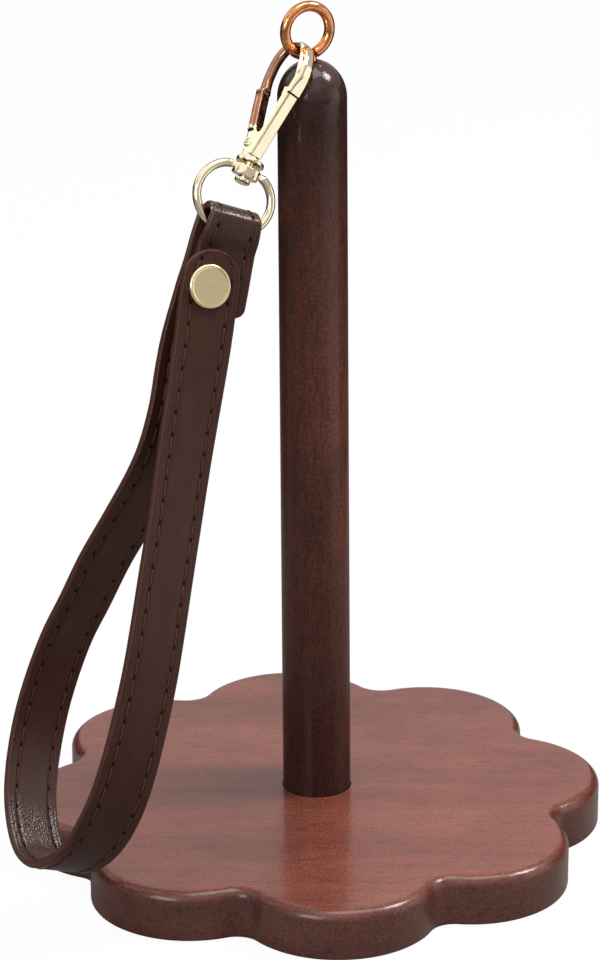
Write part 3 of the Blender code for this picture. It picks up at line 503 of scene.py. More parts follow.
EYE_ACROSS = np.array([-math.cos(EYE_YAW), -math.sin(EYE_YAW), 0.0])
EYE_CENTRE = (EYE_ACROSS * EYE_OFFSET
              + UP * (POST_TOP + FIT - EYE_SUNK + EYE_WIRE_RADIUS + EYE_RING_RADIUS))
HANG_POINT = EYE_CENTRE + EYE_RING_RADIUS * (
    EYE_ACROSS * math.cos(CONTACT_ANGLE) + UP * math.sin(CONTACT_ANGLE))
HANG = heading_dip(CLASP_HEADING, math.pi / 2 - CLASP_LEAN)
HOOK_UP = -HANG
HOOK_ACROSS = square_to(heading_dip(CLASP_TURN, 0), HANG)
HOOK_DEPTH = np.cross(HANG, HOOK_ACROSS)
FLANGE = HANG_POINT + HANG * CLASP_LENGTH
PIN_CENTRE = FLANGE + HOOK_ACROSS * PIN_ACROSS + HOOK_UP * PIN_UP
RING_ACROSS = square_to(heading_dip(RING_HEADING, RING_DIP), HANG)
RING_DOWN = turned(HANG, RING_ACROSS, RING_TILT)
STEM_PLAY = FIT + BOSS_RADIUS * math.tan(RING_TILT)
BOSS_CENTRE = FLANGE + HANG * (STEM_PLAY + BOSS_HEIGHT / 2)
RING_CENTRE = BOSS_CENTRE + RING_DOWN * BOSS_FROM_RING_CENTRE
STRAP_ACROSS = heading_dip(STRAP_HEADING, STRAP_DIP)
STRAP_DOWN = turned(square_to(-UP, STRAP_ACROSS), STRAP_ACROSS, STRAP_LEAN)
STRAP_BACK = np.cross(STRAP_ACROSS, STRAP_DOWN)
SLANT = math.atan2(STRAP_ACROSS @ RING_DOWN, STRAP_ACROSS @ RING_ACROSS)
RING_LOWEST = (RING_DOWN * RING_HALF_HEIGHT ** 2 * math.cos(SLANT)
               - RING_ACROSS * RING_HALF_WIDTH ** 2 * math.sin(SLANT)) / math.hypot(
                   RING_HALF_HEIGHT * math.cos(SLANT), RING_HALF_WIDTH * math.sin(SLANT))
CHORD_SHARE = math.sqrt(1 - (FOLD_WIDTH / 2 / RING_HALF_WIDTH) ** 2)
STRAP_HANG = RING_CENTRE + RING_LOWEST * (1 + CHORD_SHARE) / 2 + STRAP_ACROSS * HANG_SLIDE
LAYER_PITCH = STRAP_THICKNESS + FIT
BACK_LAYER = FOLD_RADIUS + STRAP_THICKNESS / 2
REAR_LAYER = BACK_LAYER - LAYERS_FORWARD
MIDDLE_LAYER = REAR_LAYER - LAYER_PITCH
FRONT_LAYER = MIDDLE_LAYER - LAYER_PITCH


# ---------- wooden foot and post ----------

PETAL_POINTS = 45
NOTCH_POINTS = 13
FLAT_TOP_INSET = BASE_TOP_ROUND * 1.25
MORTISE_RADIUS = POST_RADIUS + 0.00005
MORTISE_CHAMFER = 0.0001
DOWEL_BORE = DOWEL_RADIUS + 4 * FIT


def flower_ring(inset, height):
    """Points round the foot's outline, set in from its edge."""
    step = 2 * math.pi / PETALS
    petal_distance = BASE_RADIUS - PETAL_RADIUS
    square = petal_distance * math.cos(step / 2)
    reach = PETAL_RADIUS + NOTCH_RADIUS
    notch_distance = square + math.sqrt(square ** 2 - petal_distance ** 2 + reach ** 2)
    spread = math.atan2(notch_distance * math.sin(step / 2),
                        notch_distance * math.cos(step / 2) - petal_distance)
    petal_angles = spread * np.linspace(-1, 1, PETAL_POINTS)
    notch_angles = (spread - step / 2) * np.linspace(1, -1, NOTCH_POINTS + 2)[1:-1]
    points = []
    for middle in FIRST_PETAL_ANGLE + np.arange(PETALS) * step:
        notch = middle + step / 2
        points += arc(petal_distance * math.cos(middle), petal_distance * math.sin(middle),
                      PETAL_RADIUS - inset, middle + petal_angles)
        points += arc(notch_distance * math.cos(notch), notch_distance * math.sin(notch),
                      NOTCH_RADIUS + inset, notch + math.pi + notch_angles)
    return np.column_stack([points, np.full(len(points), height)])


def post_middle(height):
    """The post stands a little off the middle of the foot and leans back to it at its top."""
    return POST_SET_ACROSS * (1 - height / POST_TOP)


def bore_ring(radius, height):
    """A circle round the post's middle, with as many points as the foot's outline."""
    outline = flower_ring(0, 0)[:, :2]
    outward = outline / np.linalg.norm(outline, axis=1)[:, None]
    ring = np.column_stack([outward * radius, np.full(len(outward), height)])
    return ring + np.array([post_middle(height), 0, 0])


def make_foot():
    rings = [flower_ring(BASE_BOTTOM_ROUND * 2, 0)]
    for angle in np.linspace(0, math.pi / 2, 5):
        rings.append(flower_ring(BASE_BOTTOM_ROUND * (1 - math.sin(angle)),
                                 BASE_BOTTOM_ROUND * (1 - math.cos(angle))))
    rings.append(flower_ring(0, BASE_THICKNESS / 2))
    for angle in np.linspace(0, math.pi / 2, 11):
        rings.append(flower_ring(BASE_TOP_ROUND * (1 - math.cos(angle)),
                                 BASE_THICKNESS - BASE_TOP_ROUND * (1 - math.sin(angle))))
    top = flower_ring(FLAT_TOP_INSET, BASE_THICKNESS)
    inner = bore_ring(MORTISE_RADIUS + MORTISE_CHAMFER, BASE_THICKNESS)
    rings += [top * (1 - share) + inner * share for share in (0, 0.3, 0.6, 0.85, 1)]
    floor = BASE_THICKNESS - MORTISE_DEPTH
    rings += [bore_ring(MORTISE_RADIUS, BASE_THICKNESS - MORTISE_CHAMFER),
              bore_ring(MORTISE_RADIUS, floor), bore_ring(DOWEL_BORE, floor),
              bore_ring(DOWEL_BORE, floor - DOWEL_IN_BASE - FIT)]
    piece("foot", skin(rings), FOOT_WOOD, "stand", ["base"])


def make_post():
    foot = BASE_THICKNESS - MORTISE_DEPTH + FIT
    dowel_end = foot + DOWEL_IN_POST + FIT
    eye_end = POST_TOP - EYE_SHANK_DEPTH - FIT
    eye_bore = EYE_WIRE_RADIUS + FIT
    top_radius = POST_RADIUS - POST_NARROWING
    rim_angle = math.acos(EYE_SEAT_RADIUS / top_radius)
    dome_start = POST_TOP - POST_DOME_BELOW_TOP - POST_DOME_HEIGHT * math.sin(rim_angle)
    profile = [(0, dowel_end), (DOWEL_BORE, dowel_end), (DOWEL_BORE, foot),
               (POST_RADIUS - FIT, foot), (POST_RADIUS, foot + FIT)]
    for share in np.linspace(0.02, 0.98, 16):
        profile.append((POST_RADIUS - POST_NARROWING * share, foot + share * (dome_start - foot)))
    for angle in np.linspace(0, rim_angle, 26):
        profile.append((top_radius * math.cos(angle),
                        dome_start + POST_DOME_HEIGHT * math.sin(angle)))
    profile += [(eye_bore, profile[-1][1] - EYE_SEAT_DEPTH), (eye_bore, eye_end),
                (0, eye_end - FIT)]
    points, faces = lathe(profile, np.zeros(3), UP, np.array([1.0, 0, 0]), 112)
    points[:, 0] += post_middle(points[:, 2])
    piece("post_rod", (points, faces), POST_WOOD, "stand", ["post"])


# ---------- screw eye ----------

def wire_rings(path, flat, radii, sides):
    """Rings along a wire bent in one plane; flat is the plane's normal."""
    path = np.asarray(path)
    rings = []
    for centre, tangent, radius in zip(path, np.gradient(path, axis=0), radii):
        across = unit(np.cross(unit(tangent), flat))
        rings.append(oval(centre, flat * radius, across * radius, sides))
    return rings


# How the wire's cut end is rounded: the size of its last rings, and how far on they are
EYE_END_RINGS = ((0.93, 0.00012), (0.75, 0.0002))


def make_eye():
    bend_across = EYE_BEND_RADIUS - EYE_OFFSET
    bend_up = -math.sqrt((EYE_RING_RADIUS + EYE_BEND_RADIUS) ** 2 - bend_across ** 2)
    meet = math.atan2(bend_up, bend_across)
    tip_up = POST_TOP - EYE_SHANK_DEPTH - EYE_CENTRE[2]
    route = [(-EYE_OFFSET, up) for up in (tip_up + EYE_POINT, bend_up - EYE_BEND_RADIUS - MM,
                                          bend_up - EYE_BEND_RADIUS / 2)]
    route += arc(bend_across, bend_up, EYE_BEND_RADIUS,
                 np.linspace(math.pi, meet + math.pi, 12)[:-1])
    route += arc(0, 0, EYE_RING_RADIUS, np.linspace(meet, EYE_END_ANGLE, 110))
    path = [EYE_CENTRE + EYE_ACROSS * across + UP * up for across, up in route]
    rings = wire_rings(path, np.cross(EYE_ACROSS, UP), [EYE_WIRE_RADIUS] * len(path), 32)
    end, last, way = path[-1], rings[-1], unit(path[-1] - path[-2])
    rings += [end + (last - end) * size + way * ahead for size, ahead in EYE_END_RINGS]
    piece("eye_wire", skin([path[0] - UP * EYE_POINT] + rings), COPPER, "stand",
          ["screw_eye"])


# ---------- snap hook ----------

# Rows of sections along the hook. Each has its outer and its inner edge, across and up, as
# shares of the hook's reach and height.
HOOK_SIDES = 56
BLOCK_ROWS = [
    (-0.429, 0.032, 0.027, 0.032), (-0.491, 0.120, 0.098, 0.120), (-0.554, 0.193, 0.152, 0.185),
    (-0.598, 0.225, 0.054, 0.229), (-0.634, 0.253, -0.161, 0.265),
]
SHOULDER_ROWS = [(-0.668, 0.268, -0.262, 0.286)]
SPINE_ROWS = [(-0.679, 0.285, -0.313, 0.305), (-1.018, 0.558, -0.679, 0.577)]
LIP_ROWS = [(-1.030, 0.566, -0.670, 0.585)]
COLLAR_ROWS = [(-1.054, 0.568, -0.652, 0.590), (-1.071, 0.586, -0.670, 0.606)]
ARM_ROWS = [
    (-1.018, 0.610, -0.625, 0.622), (-1.055, 0.690, -0.700, 0.690), (-1.060, 0.770, -0.710, 0.765),
    (-1.030, 0.840, -0.690, 0.815), (-0.945, 0.905, -0.620, 0.865), (-0.770, 0.960, -0.500, 0.915),
    (-0.500, 0.990, -0.330, 0.952), (-0.180, 1.000, -0.140, 0.971), (0.160, 1.000, 0.110, 0.971),
]
# These rows also have a share of the nose's depth, and the depth of its dish
NOSE_ROWS = [
    (0.554, 0.960, 0.286, 0.930, 0.80, 0.0001), (0.821, 0.880, 0.446, 0.851, 0.90, 0.0004),
    (0.964, 0.799, 0.554, 0.775, 1.0, 0.0005), (0.970, 0.710, 0.607, 0.695, 1.0, 0.0),
]
BLOCK_DEPTH, SPINE_DEPTH, LIP_DEPTH, COLLAR_DEPTH = 0.00085, 0.0011, 0.0012, 0.0013
ARM_DEPTH, NOSE_DEPTH = 0.0009, 0.0014
NOSE_END_RISE = 0.0004
# Shares of a section's half width
GROOVE_PLACE, GROOVE_WIDTH = 0.36, 0.17
DISH_EDGE, DISH_SOFTNESS = 0.42, 0.05
GROOVE_DEPTH = 0.00045
DEEPEST_CUT = 0.6
# Where the hook's painted shade starts: a darker, rose-tinted plate on its spine and arm, away from
# the gate
PAINTED_SHADE_ACROSS, PAINTED_SHADE_UP = -0.0001, 0.305 * HOOK_HEIGHT
# The hook's and the ring's small roundings
EDGE_ROUND = 0.00022


def hook_section(row):
    """A section of the hook. The row holds the outer and inner edge, each across and up in
    metres, the half depth, how boxy it is, and how deep its rib grooves and its dish are."""
    *edges, depth, boxiness, ribs, dish = row
    outer, inner = np.reshape(edges, (2, 2)) @ np.array([HOOK_ACROSS, HOOK_UP])
    side, deep = boxy_circle(HOOK_SIDES, boxiness)
    cut = (ribs * (nearness(side - GROOVE_PLACE, GROOVE_WIDTH)
                   + nearness(side + GROOVE_PLACE, GROOVE_WIDTH))
           + dish / (1 + np.exp((np.abs(side) - DISH_EDGE) / DISH_SOFTNESS)))
    full = depth * deep
    reach = full - np.sign(deep) * np.minimum(cut, np.abs(full) * DEEPEST_CUT)
    return (FLANGE + (outer + inner) / 2 + np.outer(side, (outer - inner) / 2)
            + np.outer(reach, HOOK_DEPTH))


def hook_rows(rows, depth, boxiness, ribs=0.0, dish=0.0):
    """Rows of edges in metres, with the depth and form of their sections."""
    sizes = [HOOK_REACH, HOOK_HEIGHT] * 2
    return [(*np.multiply(row, sizes), depth, boxiness, ribs, dish) for row in rows]


def make_hook():
    play = 2 * STEM_PLAY + BOSS_HEIGHT
    profile = [(0, -play - STEM_HEAD_HEIGHT)]
    for angle in np.linspace(math.radians(12), math.pi / 2, 9):
        profile.append((STEM_HEAD_RADIUS * math.sin(angle),
                        -play - STEM_HEAD_HEIGHT / 2 * (1 + math.cos(angle))))
    profile += [(STEM_HEAD_RADIUS, -play), (STEM_RADIUS, -play), (STEM_RADIUS, 0)]
    for up, quarter in ((EDGE_ROUND, -1), (FLANGE_THICKNESS - EDGE_ROUND, 0)):
        profile += arc(FLANGE_RADIUS - EDGE_ROUND, up, EDGE_ROUND,
                       np.linspace(quarter, quarter + 1, 5) * math.pi / 2)
    profile.append((0, FLANGE_THICKNESS))
    stem = lathe(profile, FLANGE, HOOK_UP, HOOK_ACROSS, 56)

    nose = []
    for *edges, share, dish in NOSE_ROWS:
        nose += hook_rows([edges], NOSE_DEPTH * share, 3.4, 0.0, dish)
    tip_up = GATE_TOP_UP + FIT
    end = (GATE_TOP_ACROSS + FIT, tip_up, GATE_TONGUE_ACROSS + FIT, tip_up + NOSE_END_RISE,
           NOSE_DEPTH, 6.0, 0.0, 0.0)
    rows = [*smoothed(hook_rows(BLOCK_ROWS, BLOCK_DEPTH, 7.0), 5),
            *hook_rows(SHOULDER_ROWS, SPINE_DEPTH, 5.0),
            *smoothed(hook_rows(SPINE_ROWS, SPINE_DEPTH, 6.0, GROOVE_DEPTH), 12),
            *hook_rows(LIP_ROWS, LIP_DEPTH, 3.2),
            *smoothed(hook_rows(COLLAR_ROWS, COLLAR_DEPTH, 3.0), 3),
            *smoothed(hook_rows(ARM_ROWS, ARM_DEPTH, 2.3) + nose[:-1], 7),
            *smoothed([*nose[-2:], end], 6)[1:]]
    body = skin([hook_section(row) for row in rows])
    casting = piece("hook_casting", together([stem, body]), PALE_GOLD, "clasp",
                    ["clasp_hook"], sharp=28)
    # The spine and arm, away from the gate, get the darker plate as painted shade
    casting.data.materials.append(PAINTED_SHADE_PLATE)
    for face in casting.data.polygons:
        corners = [casting.data.vertices[index].co for index in face.vertices]
        middle = np.mean(corners, axis=0) - FLANGE
        if middle @ HOOK_ACROSS < PAINTED_SHADE_ACROSS and middle @ HOOK_UP > PAINTED_SHADE_UP:
            face.material_index = 1


# The pin's end outside the gate's cheek: pairs of radius and distance from the cheek
PIN_END = [
    (0.00045, 0), (0.0009, 0), (0.0009, 0.00014), (0.00082, 0.00024), (0.00066, 0.00030),
    (0.00056, 0.00030), (0.00050, 0.00018), (0.00040, 0.00018), (0.00034, 0.00036),
    (0.00018, 0.00046), (0, 0.00048),
]


def make_pin():
    half = [(radius, GATE_HALF_WIDTH + along) for radius, along in PIN_END]
    profile = [(radius, -along) for radius, along in reversed(half)] + half
    piece("hinge_pin", lathe(profile, PIN_CENTRE, HOOK_DEPTH, HOOK_ACROSS, 40), PALE_GOLD,
          "clasp", ["gate_pin"])


GATE_CORNER, TONGUE_CORNER = 0.00032, 0.0002


def gate_face(up):
    """How far across the gate's face is at some height."""
    share = (up - GATE_FOOT_UP) / (GATE_TOP_UP - GATE_FOOT_UP)
    return GATE_FOOT_ACROSS + share * (GATE_TOP_ACROSS - GATE_FOOT_ACROSS)


def gate_section(up, face, back, half, corner=GATE_CORNER):
    """A channel section of the gate: its face sheet and two cheeks, with rounded corners."""
    inside, half_in = face - GATE_SHEET, half - GATE_SHEET
    outline = [(back, half), *arc(face - corner, half - corner, corner,
                                  np.linspace(math.pi / 2, 0, 6)),
               *arc(face - corner, corner - half, corner, np.linspace(0, -math.pi / 2, 6)),
               (back, -half), (back, -half_in), (inside, -half_in), (inside, half_in),
               (back, half_in)]
    return np.array([FLANGE + HOOK_ACROSS * across + HOOK_UP * up + HOOK_DEPTH * deep
                     for across, deep in outline])


def make_gate():
    backs = [(GATE_FOOT_UP, gate_face(GATE_FOOT_UP) - GATE_CHEEK_DEPTH)]
    for angle in np.radians(np.linspace(-80, 60, 20)):
        backs.append((PIN_UP + GATE_EAR_RADIUS * math.sin(angle),
                      PIN_ACROSS - GATE_EAR_RADIUS * math.cos(angle)))
    ear_end = backs[-1][1]
    for share in np.linspace(0.1, 1.0, 8):
        up = PIN_UP + GATE_EAR_RADIUS * (1 + 0.8 * share)
        backs.append((up, ear_end + eased(share) * (gate_face(up) - GATE_CHEEK_DEPTH - ear_end)))
    top_back = GATE_TOP_ACROSS - GATE_CHEEK_DEPTH - GATE_SHEET
    backs += [(GATE_TOP_UP - FIT, top_back), (GATE_TOP_UP, top_back)]
    rings = [gate_section(up, gate_face(up), back, GATE_HALF_WIDTH) for up, back in backs]
    for up in (GATE_TOP_UP, GATE_TOP_UP + GATE_TONGUE_LENGTH):
        rings.append(gate_section(up, GATE_TONGUE_ACROSS, GATE_TONGUE_ACROSS - GATE_CHEEK_DEPTH,
                                  GATE_HALF_WIDTH - GATE_TONGUE_NARROWING, TONGUE_CORNER))
    piece("gate_channel", skin(rings), PALE_GOLD, "gate", ["clasp_gate"],
          sharp=30)


# ---------- swivel ring ----------

BOSS_HALF_WIDTH = 0.00255
NECK_FROM_MIDDLE, NECK_LENGTH, NECK_SHARE = 0.00275, 0.00035, 0.28


def make_ring():
    """The ring's wire, dented towards its boss and narrower beside it, and the boss."""
    flat = np.cross(RING_ACROSS, RING_DOWN)
    path, radii = [], []
    for angle in np.arange(-1, 145) % 144 * 2 * math.pi / 144:
        across, down = RING_HALF_WIDTH * math.cos(angle), RING_HALF_HEIGHT * math.sin(angle)
        radius = RING_WIRE_RADIUS
        if down < 0:
            down += (nearness(across, BOSS_RADIUS * math.sqrt(2))
                     * (RING_HALF_HEIGHT - BOSS_FROM_RING_CENTRE))
            radius *= 1 - NECK_SHARE * nearness(abs(across) - NECK_FROM_MIDDLE, NECK_LENGTH)
        path.append(RING_CENTRE + RING_ACROSS * across + RING_DOWN * down)
        radii.append(radius)
    wire = skin(wire_rings(path, flat, radii, 28)[1:-1], joined=True)
    half, bore = BOSS_HEIGHT / 2, STEM_RADIUS + FIT
    sections = [(bore, bore, -half, 2.0)]
    for middle, quarter in ((EDGE_ROUND - half, -1), (half - EDGE_ROUND, 0)):
        for wider, down in arc(-EDGE_ROUND, middle, EDGE_ROUND,
                               np.linspace(quarter, quarter + 1, 5) * math.pi / 2):
            sections.append((BOSS_HALF_WIDTH + wider, BOSS_RADIUS + wider, down, 2.6))
    sections.append((bore, bore, half, 2.0))
    boss = skin([oval(BOSS_CENTRE + RING_DOWN * down, RING_ACROSS * wide, flat * deep, 56, boxy)
                 for wide, deep, down, boxy in sections], joined=True)
    piece("ring_wire", together([wire, boss]), PALE_GOLD, "swivel",
          ["swivel_ring"], sharp=40)


# ---------- strap ----------

# The strap's middle line. Down is a share of the loop's length, back a share of its depth.
LINE_SHARES = [
    (0.218, -0.111), (0.349, -0.130), (0.485, -0.167), (0.619, -0.204), (0.686, -0.215),
    (0.753, -0.204), (0.819, -0.174), (0.884, -0.104), (0.941, 0.052),
    (0.979, 0.237), (0.998, 0.444), (0.989, 0.630), (0.956, 0.774),
    (0.900, 0.919), (0.829, 0.993), (0.761, 0.970), (0.662, 0.841), (0.594, 0.707),
    (0.528, 0.581), (0.460, 0.407), (0.393, 0.233), (0.345, 0.144), (0.282, 0.096),
    (0.220, 0.085),
]
STATION_SPACING = 0.0009
STATION_TURN = math.radians(4.0)
FACE_POINTS = 45


def strap_route():
    """Places on the strap's middle line: down from the ring, and back from the front."""
    seat = RIVET_CAP_RADIUS + FIT
    route = [(RIVET_FROM_RING - TIP_ABOVE_RIVET, FRONT_LAYER), (RIVET_FROM_RING, FRONT_LAYER),
             (RIVET_FROM_RING + seat, FRONT_LAYER)]
    for down, back in LINE_SHARES:
        route.append((down * LOOP_LENGTH, back * LOOP_DEPTH))
    route += [(RIVET_FROM_RING + seat, REAR_LAYER), (RIVET_FROM_RING, REAR_LAYER),
              (RIVET_FROM_RING - seat, REAR_LAYER)]
    for angle in np.linspace(0, math.radians(160), 8):
        route.append((-FOLD_RISE - BACK_LAYER * math.sin(angle), BACK_LAYER * math.cos(angle)))
    settled = RIVET_FROM_RING - TIP_ABOVE_RIVET - FIT
    for share in (0.4, 1.0):
        route.append((settled * share, MIDDLE_LAYER + (1 - share) * (MIDDLE_LAYER - REAR_LAYER)))
    route += [(RIVET_FROM_RING, MIDDLE_LAYER), (RIVET_FROM_RING + TAB_BELOW_RIVET, MIDDLE_LAYER)]
    return np.array(route)


def smooth_line(route):
    """Close points on a smooth curve through the route."""
    points = []
    for before, start, end, after in neighbours(route):
        length = np.linalg.norm(end - start)
        leaving = (end - before) * length / (length + np.linalg.norm(start - before))
        arriving = (after - start) * length / (length + np.linalg.norm(after - end))
        turn = math.acos(np.clip(unit(leaving) @ unit(arriving), -1, 1))
        count = max(1, math.ceil(length / STATION_SPACING), math.ceil(turn / STATION_TURN))
        points += [curve_point(start, leaving, end, arriving, share)
                   for share in np.arange(count) / count]
    return np.array(points + [route[-1]])


def rounded_half_width(distance, radius):
    """Half the strap's width at a distance from an end that is rounded by a radius."""
    missing = max(0.0, radius - distance)
    return STRAP_WIDTH / 2 - radius + math.sqrt(max(0.0, radius ** 2 - missing ** 2))


LINE = smooth_line(strap_route())
REACHED = np.concatenate([[0], np.cumsum(np.linalg.norm(np.diff(LINE, axis=0), axis=1))])
FOLDS_AT = REACHED[np.argmin(LINE[:, 0])]
LOWEST_AT = REACHED[np.argmax(LINE[:, 0])]
TOTAL = REACHED[-1]
WAYS = np.gradient(LINE, REACHED, axis=0)


def half_width_at(station):
    half = min(rounded_half_width(station, STRAP_TIP_LENGTH),
               rounded_half_width(TOTAL - station, TAB_CORNER))
    squeeze = nearness(station - FOLDS_AT, SQUEEZE_LENGTH)
    return half - squeeze * (STRAP_WIDTH - FOLD_WIDTH) / 2


# The strap's twist in degrees and its shift to one side, at places along it; all else is in mm
TWIST_PLACES = [0, 12, 30, 50, 75, 95, 108, 118, 135, 155, 175, 200, 225, 243, 290]
TWIST_DEGREES = [0, 1.8, 7.4, 12.5, 10.3, 6.7, 2, 8, 15, 13.5, 16.5, 15, 13.4, 0, 0]
SIDE_PLACES = [0, 6, 16, 60, 100, 125, 150, 175, 200, 225, 240, 250, 290]
SIDE_SHIFTS = [0.2, 0.2, 0.66, 0.73, 1.25, 0.75, 1.55, 1.85, 1.6, 1.0, 0.2, -0.2, 0.0]
LINE_STEP = 0.0005
SAG_DEPTH, SAG_LENGTH, SAG_SLOPE = 0.0005, 0.0045, 0.05


def soft_line(places, values):
    """Values at every step along the strap, smoothed over about a centimetre."""
    line = np.interp(np.arange(600) * LINE_STEP / MM, places, values)
    window = np.hanning(31)
    return np.convolve(np.pad(line, 15, mode="edge"), window / window.sum(), mode="valid")


TWIST_LINE = soft_line(TWIST_PLACES, TWIST_DEGREES)
SIDE_LINE = soft_line(SIDE_PLACES, SIDE_SHIFTS)


def strap_point(station, across, offset):
    """A place on the strap: along it, across it, and outward from its middle."""
    down, back = [np.interp(station, REACHED, LINE[:, axis]) for axis in (0, 1)]
    way = [np.interp(station, REACHED, WAYS[:, axis]) for axis in (0, 1)]
    outward = unit([way[1], -way[0]])
    down, back = down + outward[0] * offset, back + outward[1] * offset
    step = int(round(station / LINE_STEP))
    shift = TAB_SHIFT * (eased((station - FOLDS_AT) / SHIFT_LENGTH + 1) - 1)
    shift += SIDE_LINE[step] * MM
    sag = nearness(station - FOLDS_AT, SAG_LENGTH) * (SAG_DEPTH + across * SAG_SLOPE)
    return (STRAP_HANG + STRAP_DOWN * (down + sag) + STRAP_ACROSS * shift
            + turned(STRAP_BACK * back + STRAP_ACROSS * across, STRAP_DOWN,
                     -math.radians(TWIST_LINE[step])))


EDGE_ROLL = 0.0004
EDGE_STEPS = np.array([0, 0.01, 0.04, 0.09, 0.16, 0.25, 0.40, 0.60, 0.78, 0.88, 0.98, 1.08,
                       1.18, 1.3]) * MM
CREASE_FROM_EDGE, CREASE_WIDTH = 0.0010, 0.00014
CREASE_DEPTH, TIP_CREASE_DEPTH = 0.00003, 0.00007
SEAM_FROM_MIDDLE, SEAM_WIDTH, SEAM_DEPTH = 0.0037, 0.00042, 0.00008


def edge_distance(station, across, half):
    """How far a place on the strap's face is from the strap's outline."""
    found = half - abs(across)
    for reach, radius in ((station, STRAP_TIP_LENGTH), (TOTAL - station, TAB_CORNER)):
        over = abs(across) - (STRAP_WIDTH / 2 - radius)
        if reach < radius and over > 0:
            found = min(found, radius - math.hypot(radius - reach, over))
        elif reach < radius:
            found = min(found, reach)
    return max(0.0, found)


def seam_at(half):
    """How far from its middle the strap is stitched, where it is this half width."""
    return SEAM_FROM_MIDDLE * half / (STRAP_WIDTH / 2)


def face_height(station, across, half):
    """How far the strap's face stands from its middle, sunk in a groove along its stitches."""
    inward = edge_distance(station, across, half)
    share = min(1.0, inward / EDGE_ROLL)
    full = STRAP_THICKNESS / 2 * (1 - (1 - share) ** 2.4) ** 0.5
    crease = TIP_CREASE_DEPTH if station < 2 * STRAP_TIP_LENGTH else CREASE_DEPTH
    groove = (SEAM_DEPTH * nearness(abs(across) - seam_at(half), SEAM_WIDTH)
              + crease * nearness(inward - CREASE_FROM_EDGE, CREASE_WIDTH))
    return full - min(groove, full * 0.5)


def strap_section(station, half):
    """Across and outward positions round the strip at a station, with rolled edges."""
    steps = np.minimum(EDGE_STEPS, half * 0.5 * EDGE_STEPS / EDGE_STEPS[-1])
    inner = half - steps[-1]
    across = np.concatenate([-half + steps, np.linspace(-inner, inner, FACE_POINTS)[1:-1],
                             (half - steps)[::-1]])
    front = [(place, face_height(station, place, half)) for place in across]
    return front + [(place, -height) for place, height in front[::-1][1:-1]]


# Stations near the strap's round tip and near its other end, as shares of their lengths
TIP_SHARES = [0.0006, 0.003, 0.008, 0.018, 0.032, 0.048, 0.066, 0.085, 0.11, 0.15, 0.2, 0.26,
              0.33, 0.42, 0.52, 0.64, 0.76, 0.88]
TAB_SHARES = [0.002, 0.01, 0.03, 0.06, 0.1, 0.15, 0.2, 0.27, 0.4, 0.6, 0.8, 1.0]
# Where the leather is polished: over the fold, and past the lowest place of the hand loop
FOLD_POLISH_LENGTH, BEND_POLISH_LENGTH, BEND_POLISH_SHIFT = 0.0085, 0.0130, 0.0080
# How wide the painted shade along each stitched groove is
PAINTED_SEAM_SHADE_WIDTH = 0.0005
BACK_UV_SHIFT = 30


def make_strap():
    middle = REACHED[(REACHED > STRAP_TIP_LENGTH) & (REACHED < TOTAL - TAB_CORNER)]
    stations = np.concatenate([STRAP_TIP_LENGTH * np.array(TIP_SHARES), middle,
                               TOTAL - TAB_CORNER * np.array(TAB_SHARES)])
    rings, uv, unevenness = [], [], []
    for station in np.unique(np.round(stations, 7)):
        half = half_width_at(station)
        polished = min(1.0, nearness(station - FOLDS_AT, FOLD_POLISH_LENGTH) + 0.9 * nearness(
            station - LOWEST_AT - BEND_POLISH_SHIFT, BEND_POLISH_LENGTH))
        section = strap_section(station, half)
        rings.append(np.array([strap_point(station, *place) for place in section]))
        for across, offset in section:
            uv.append((station / MM, across / MM + (BACK_UV_SHIFT if offset < 0 else 0)))
            # Nearness to the rolled edge, where the colour is lighter
            lighter_edge = 1 - min(1.0, edge_distance(station, across, half) / EDGE_ROLL)
            # Painted shade along each stitched groove
            painted_seam_shade = nearness(abs(across) - seam_at(half), PAINTED_SEAM_SHADE_WIDTH)
            unevenness.append((lighter_edge ** 1.5, painted_seam_shade, polished))
    made = piece("strap_leather", skin(rings), LEATHER, "strap",
                 ["strap_face", "strap_lining"], sharp=75, uv=uv)
    edges_seam_shade_gloss = made.data.attributes.new("edges_seam_shade_gloss", "FLOAT_VECTOR", "POINT")
    for item, value in zip(edges_seam_shade_gloss.data, unevenness):
        item.vector = value


THREAD_RADIUS = 0.00015
THREAD_FLATNESS = 0.75
# Each row of stitches: its side of the strap, its pitch, and where it starts
STITCH_ROWS = ((-1, 0.004065, 0.0023), (1, 0.003975, 0.00158))
STITCH_FROM_EDGE = 0.0012
FIRST_STITCH, LAST_STITCH = 0.0020, 0.0012
THREAD_RISE, THREAD_SUNK = 0.00009, 0.00006
# A needle's hole: how far out each of its rings is, and how long and wide
HOLE_RINGS = ((0.0, 0.00055, 0.00046), (0.00003, 0.00046, 0.00037))
HOLE_SUNK, HOLE_DEPTH = 0.00008, 0.0002


def sweep(points, outs):
    """A rounded thread through some points, lying on a surface with the given normals."""
    points = np.array(points)
    rings = [points[0] - unit(points[1] - points[0]) * THREAD_RADIUS * 0.6]
    for index, (centre, way, out) in enumerate(zip(points, np.gradient(points, axis=0), outs)):
        size = THREAD_RADIUS if 0 < index < len(points) - 1 else THREAD_RADIUS * 0.7
        rings.append(oval(centre, unit(np.cross(way, out)) * size,
                          unit(out) * size * THREAD_FLATNESS, 8))
    rings.append(points[-1] + unit(points[-1] - points[-2]) * THREAD_RADIUS * 0.6)
    return skin(rings)


def stitched_place(station, side, offset):
    """A place on a row of stitches, the way out of the strap there, and how far across it is."""
    half = half_width_at(station)
    across = side * min(seam_at(half), half - STITCH_FROM_EDGE)
    on = strap_point(station, across, offset)
    return on, on - strap_point(station, across, 0), across


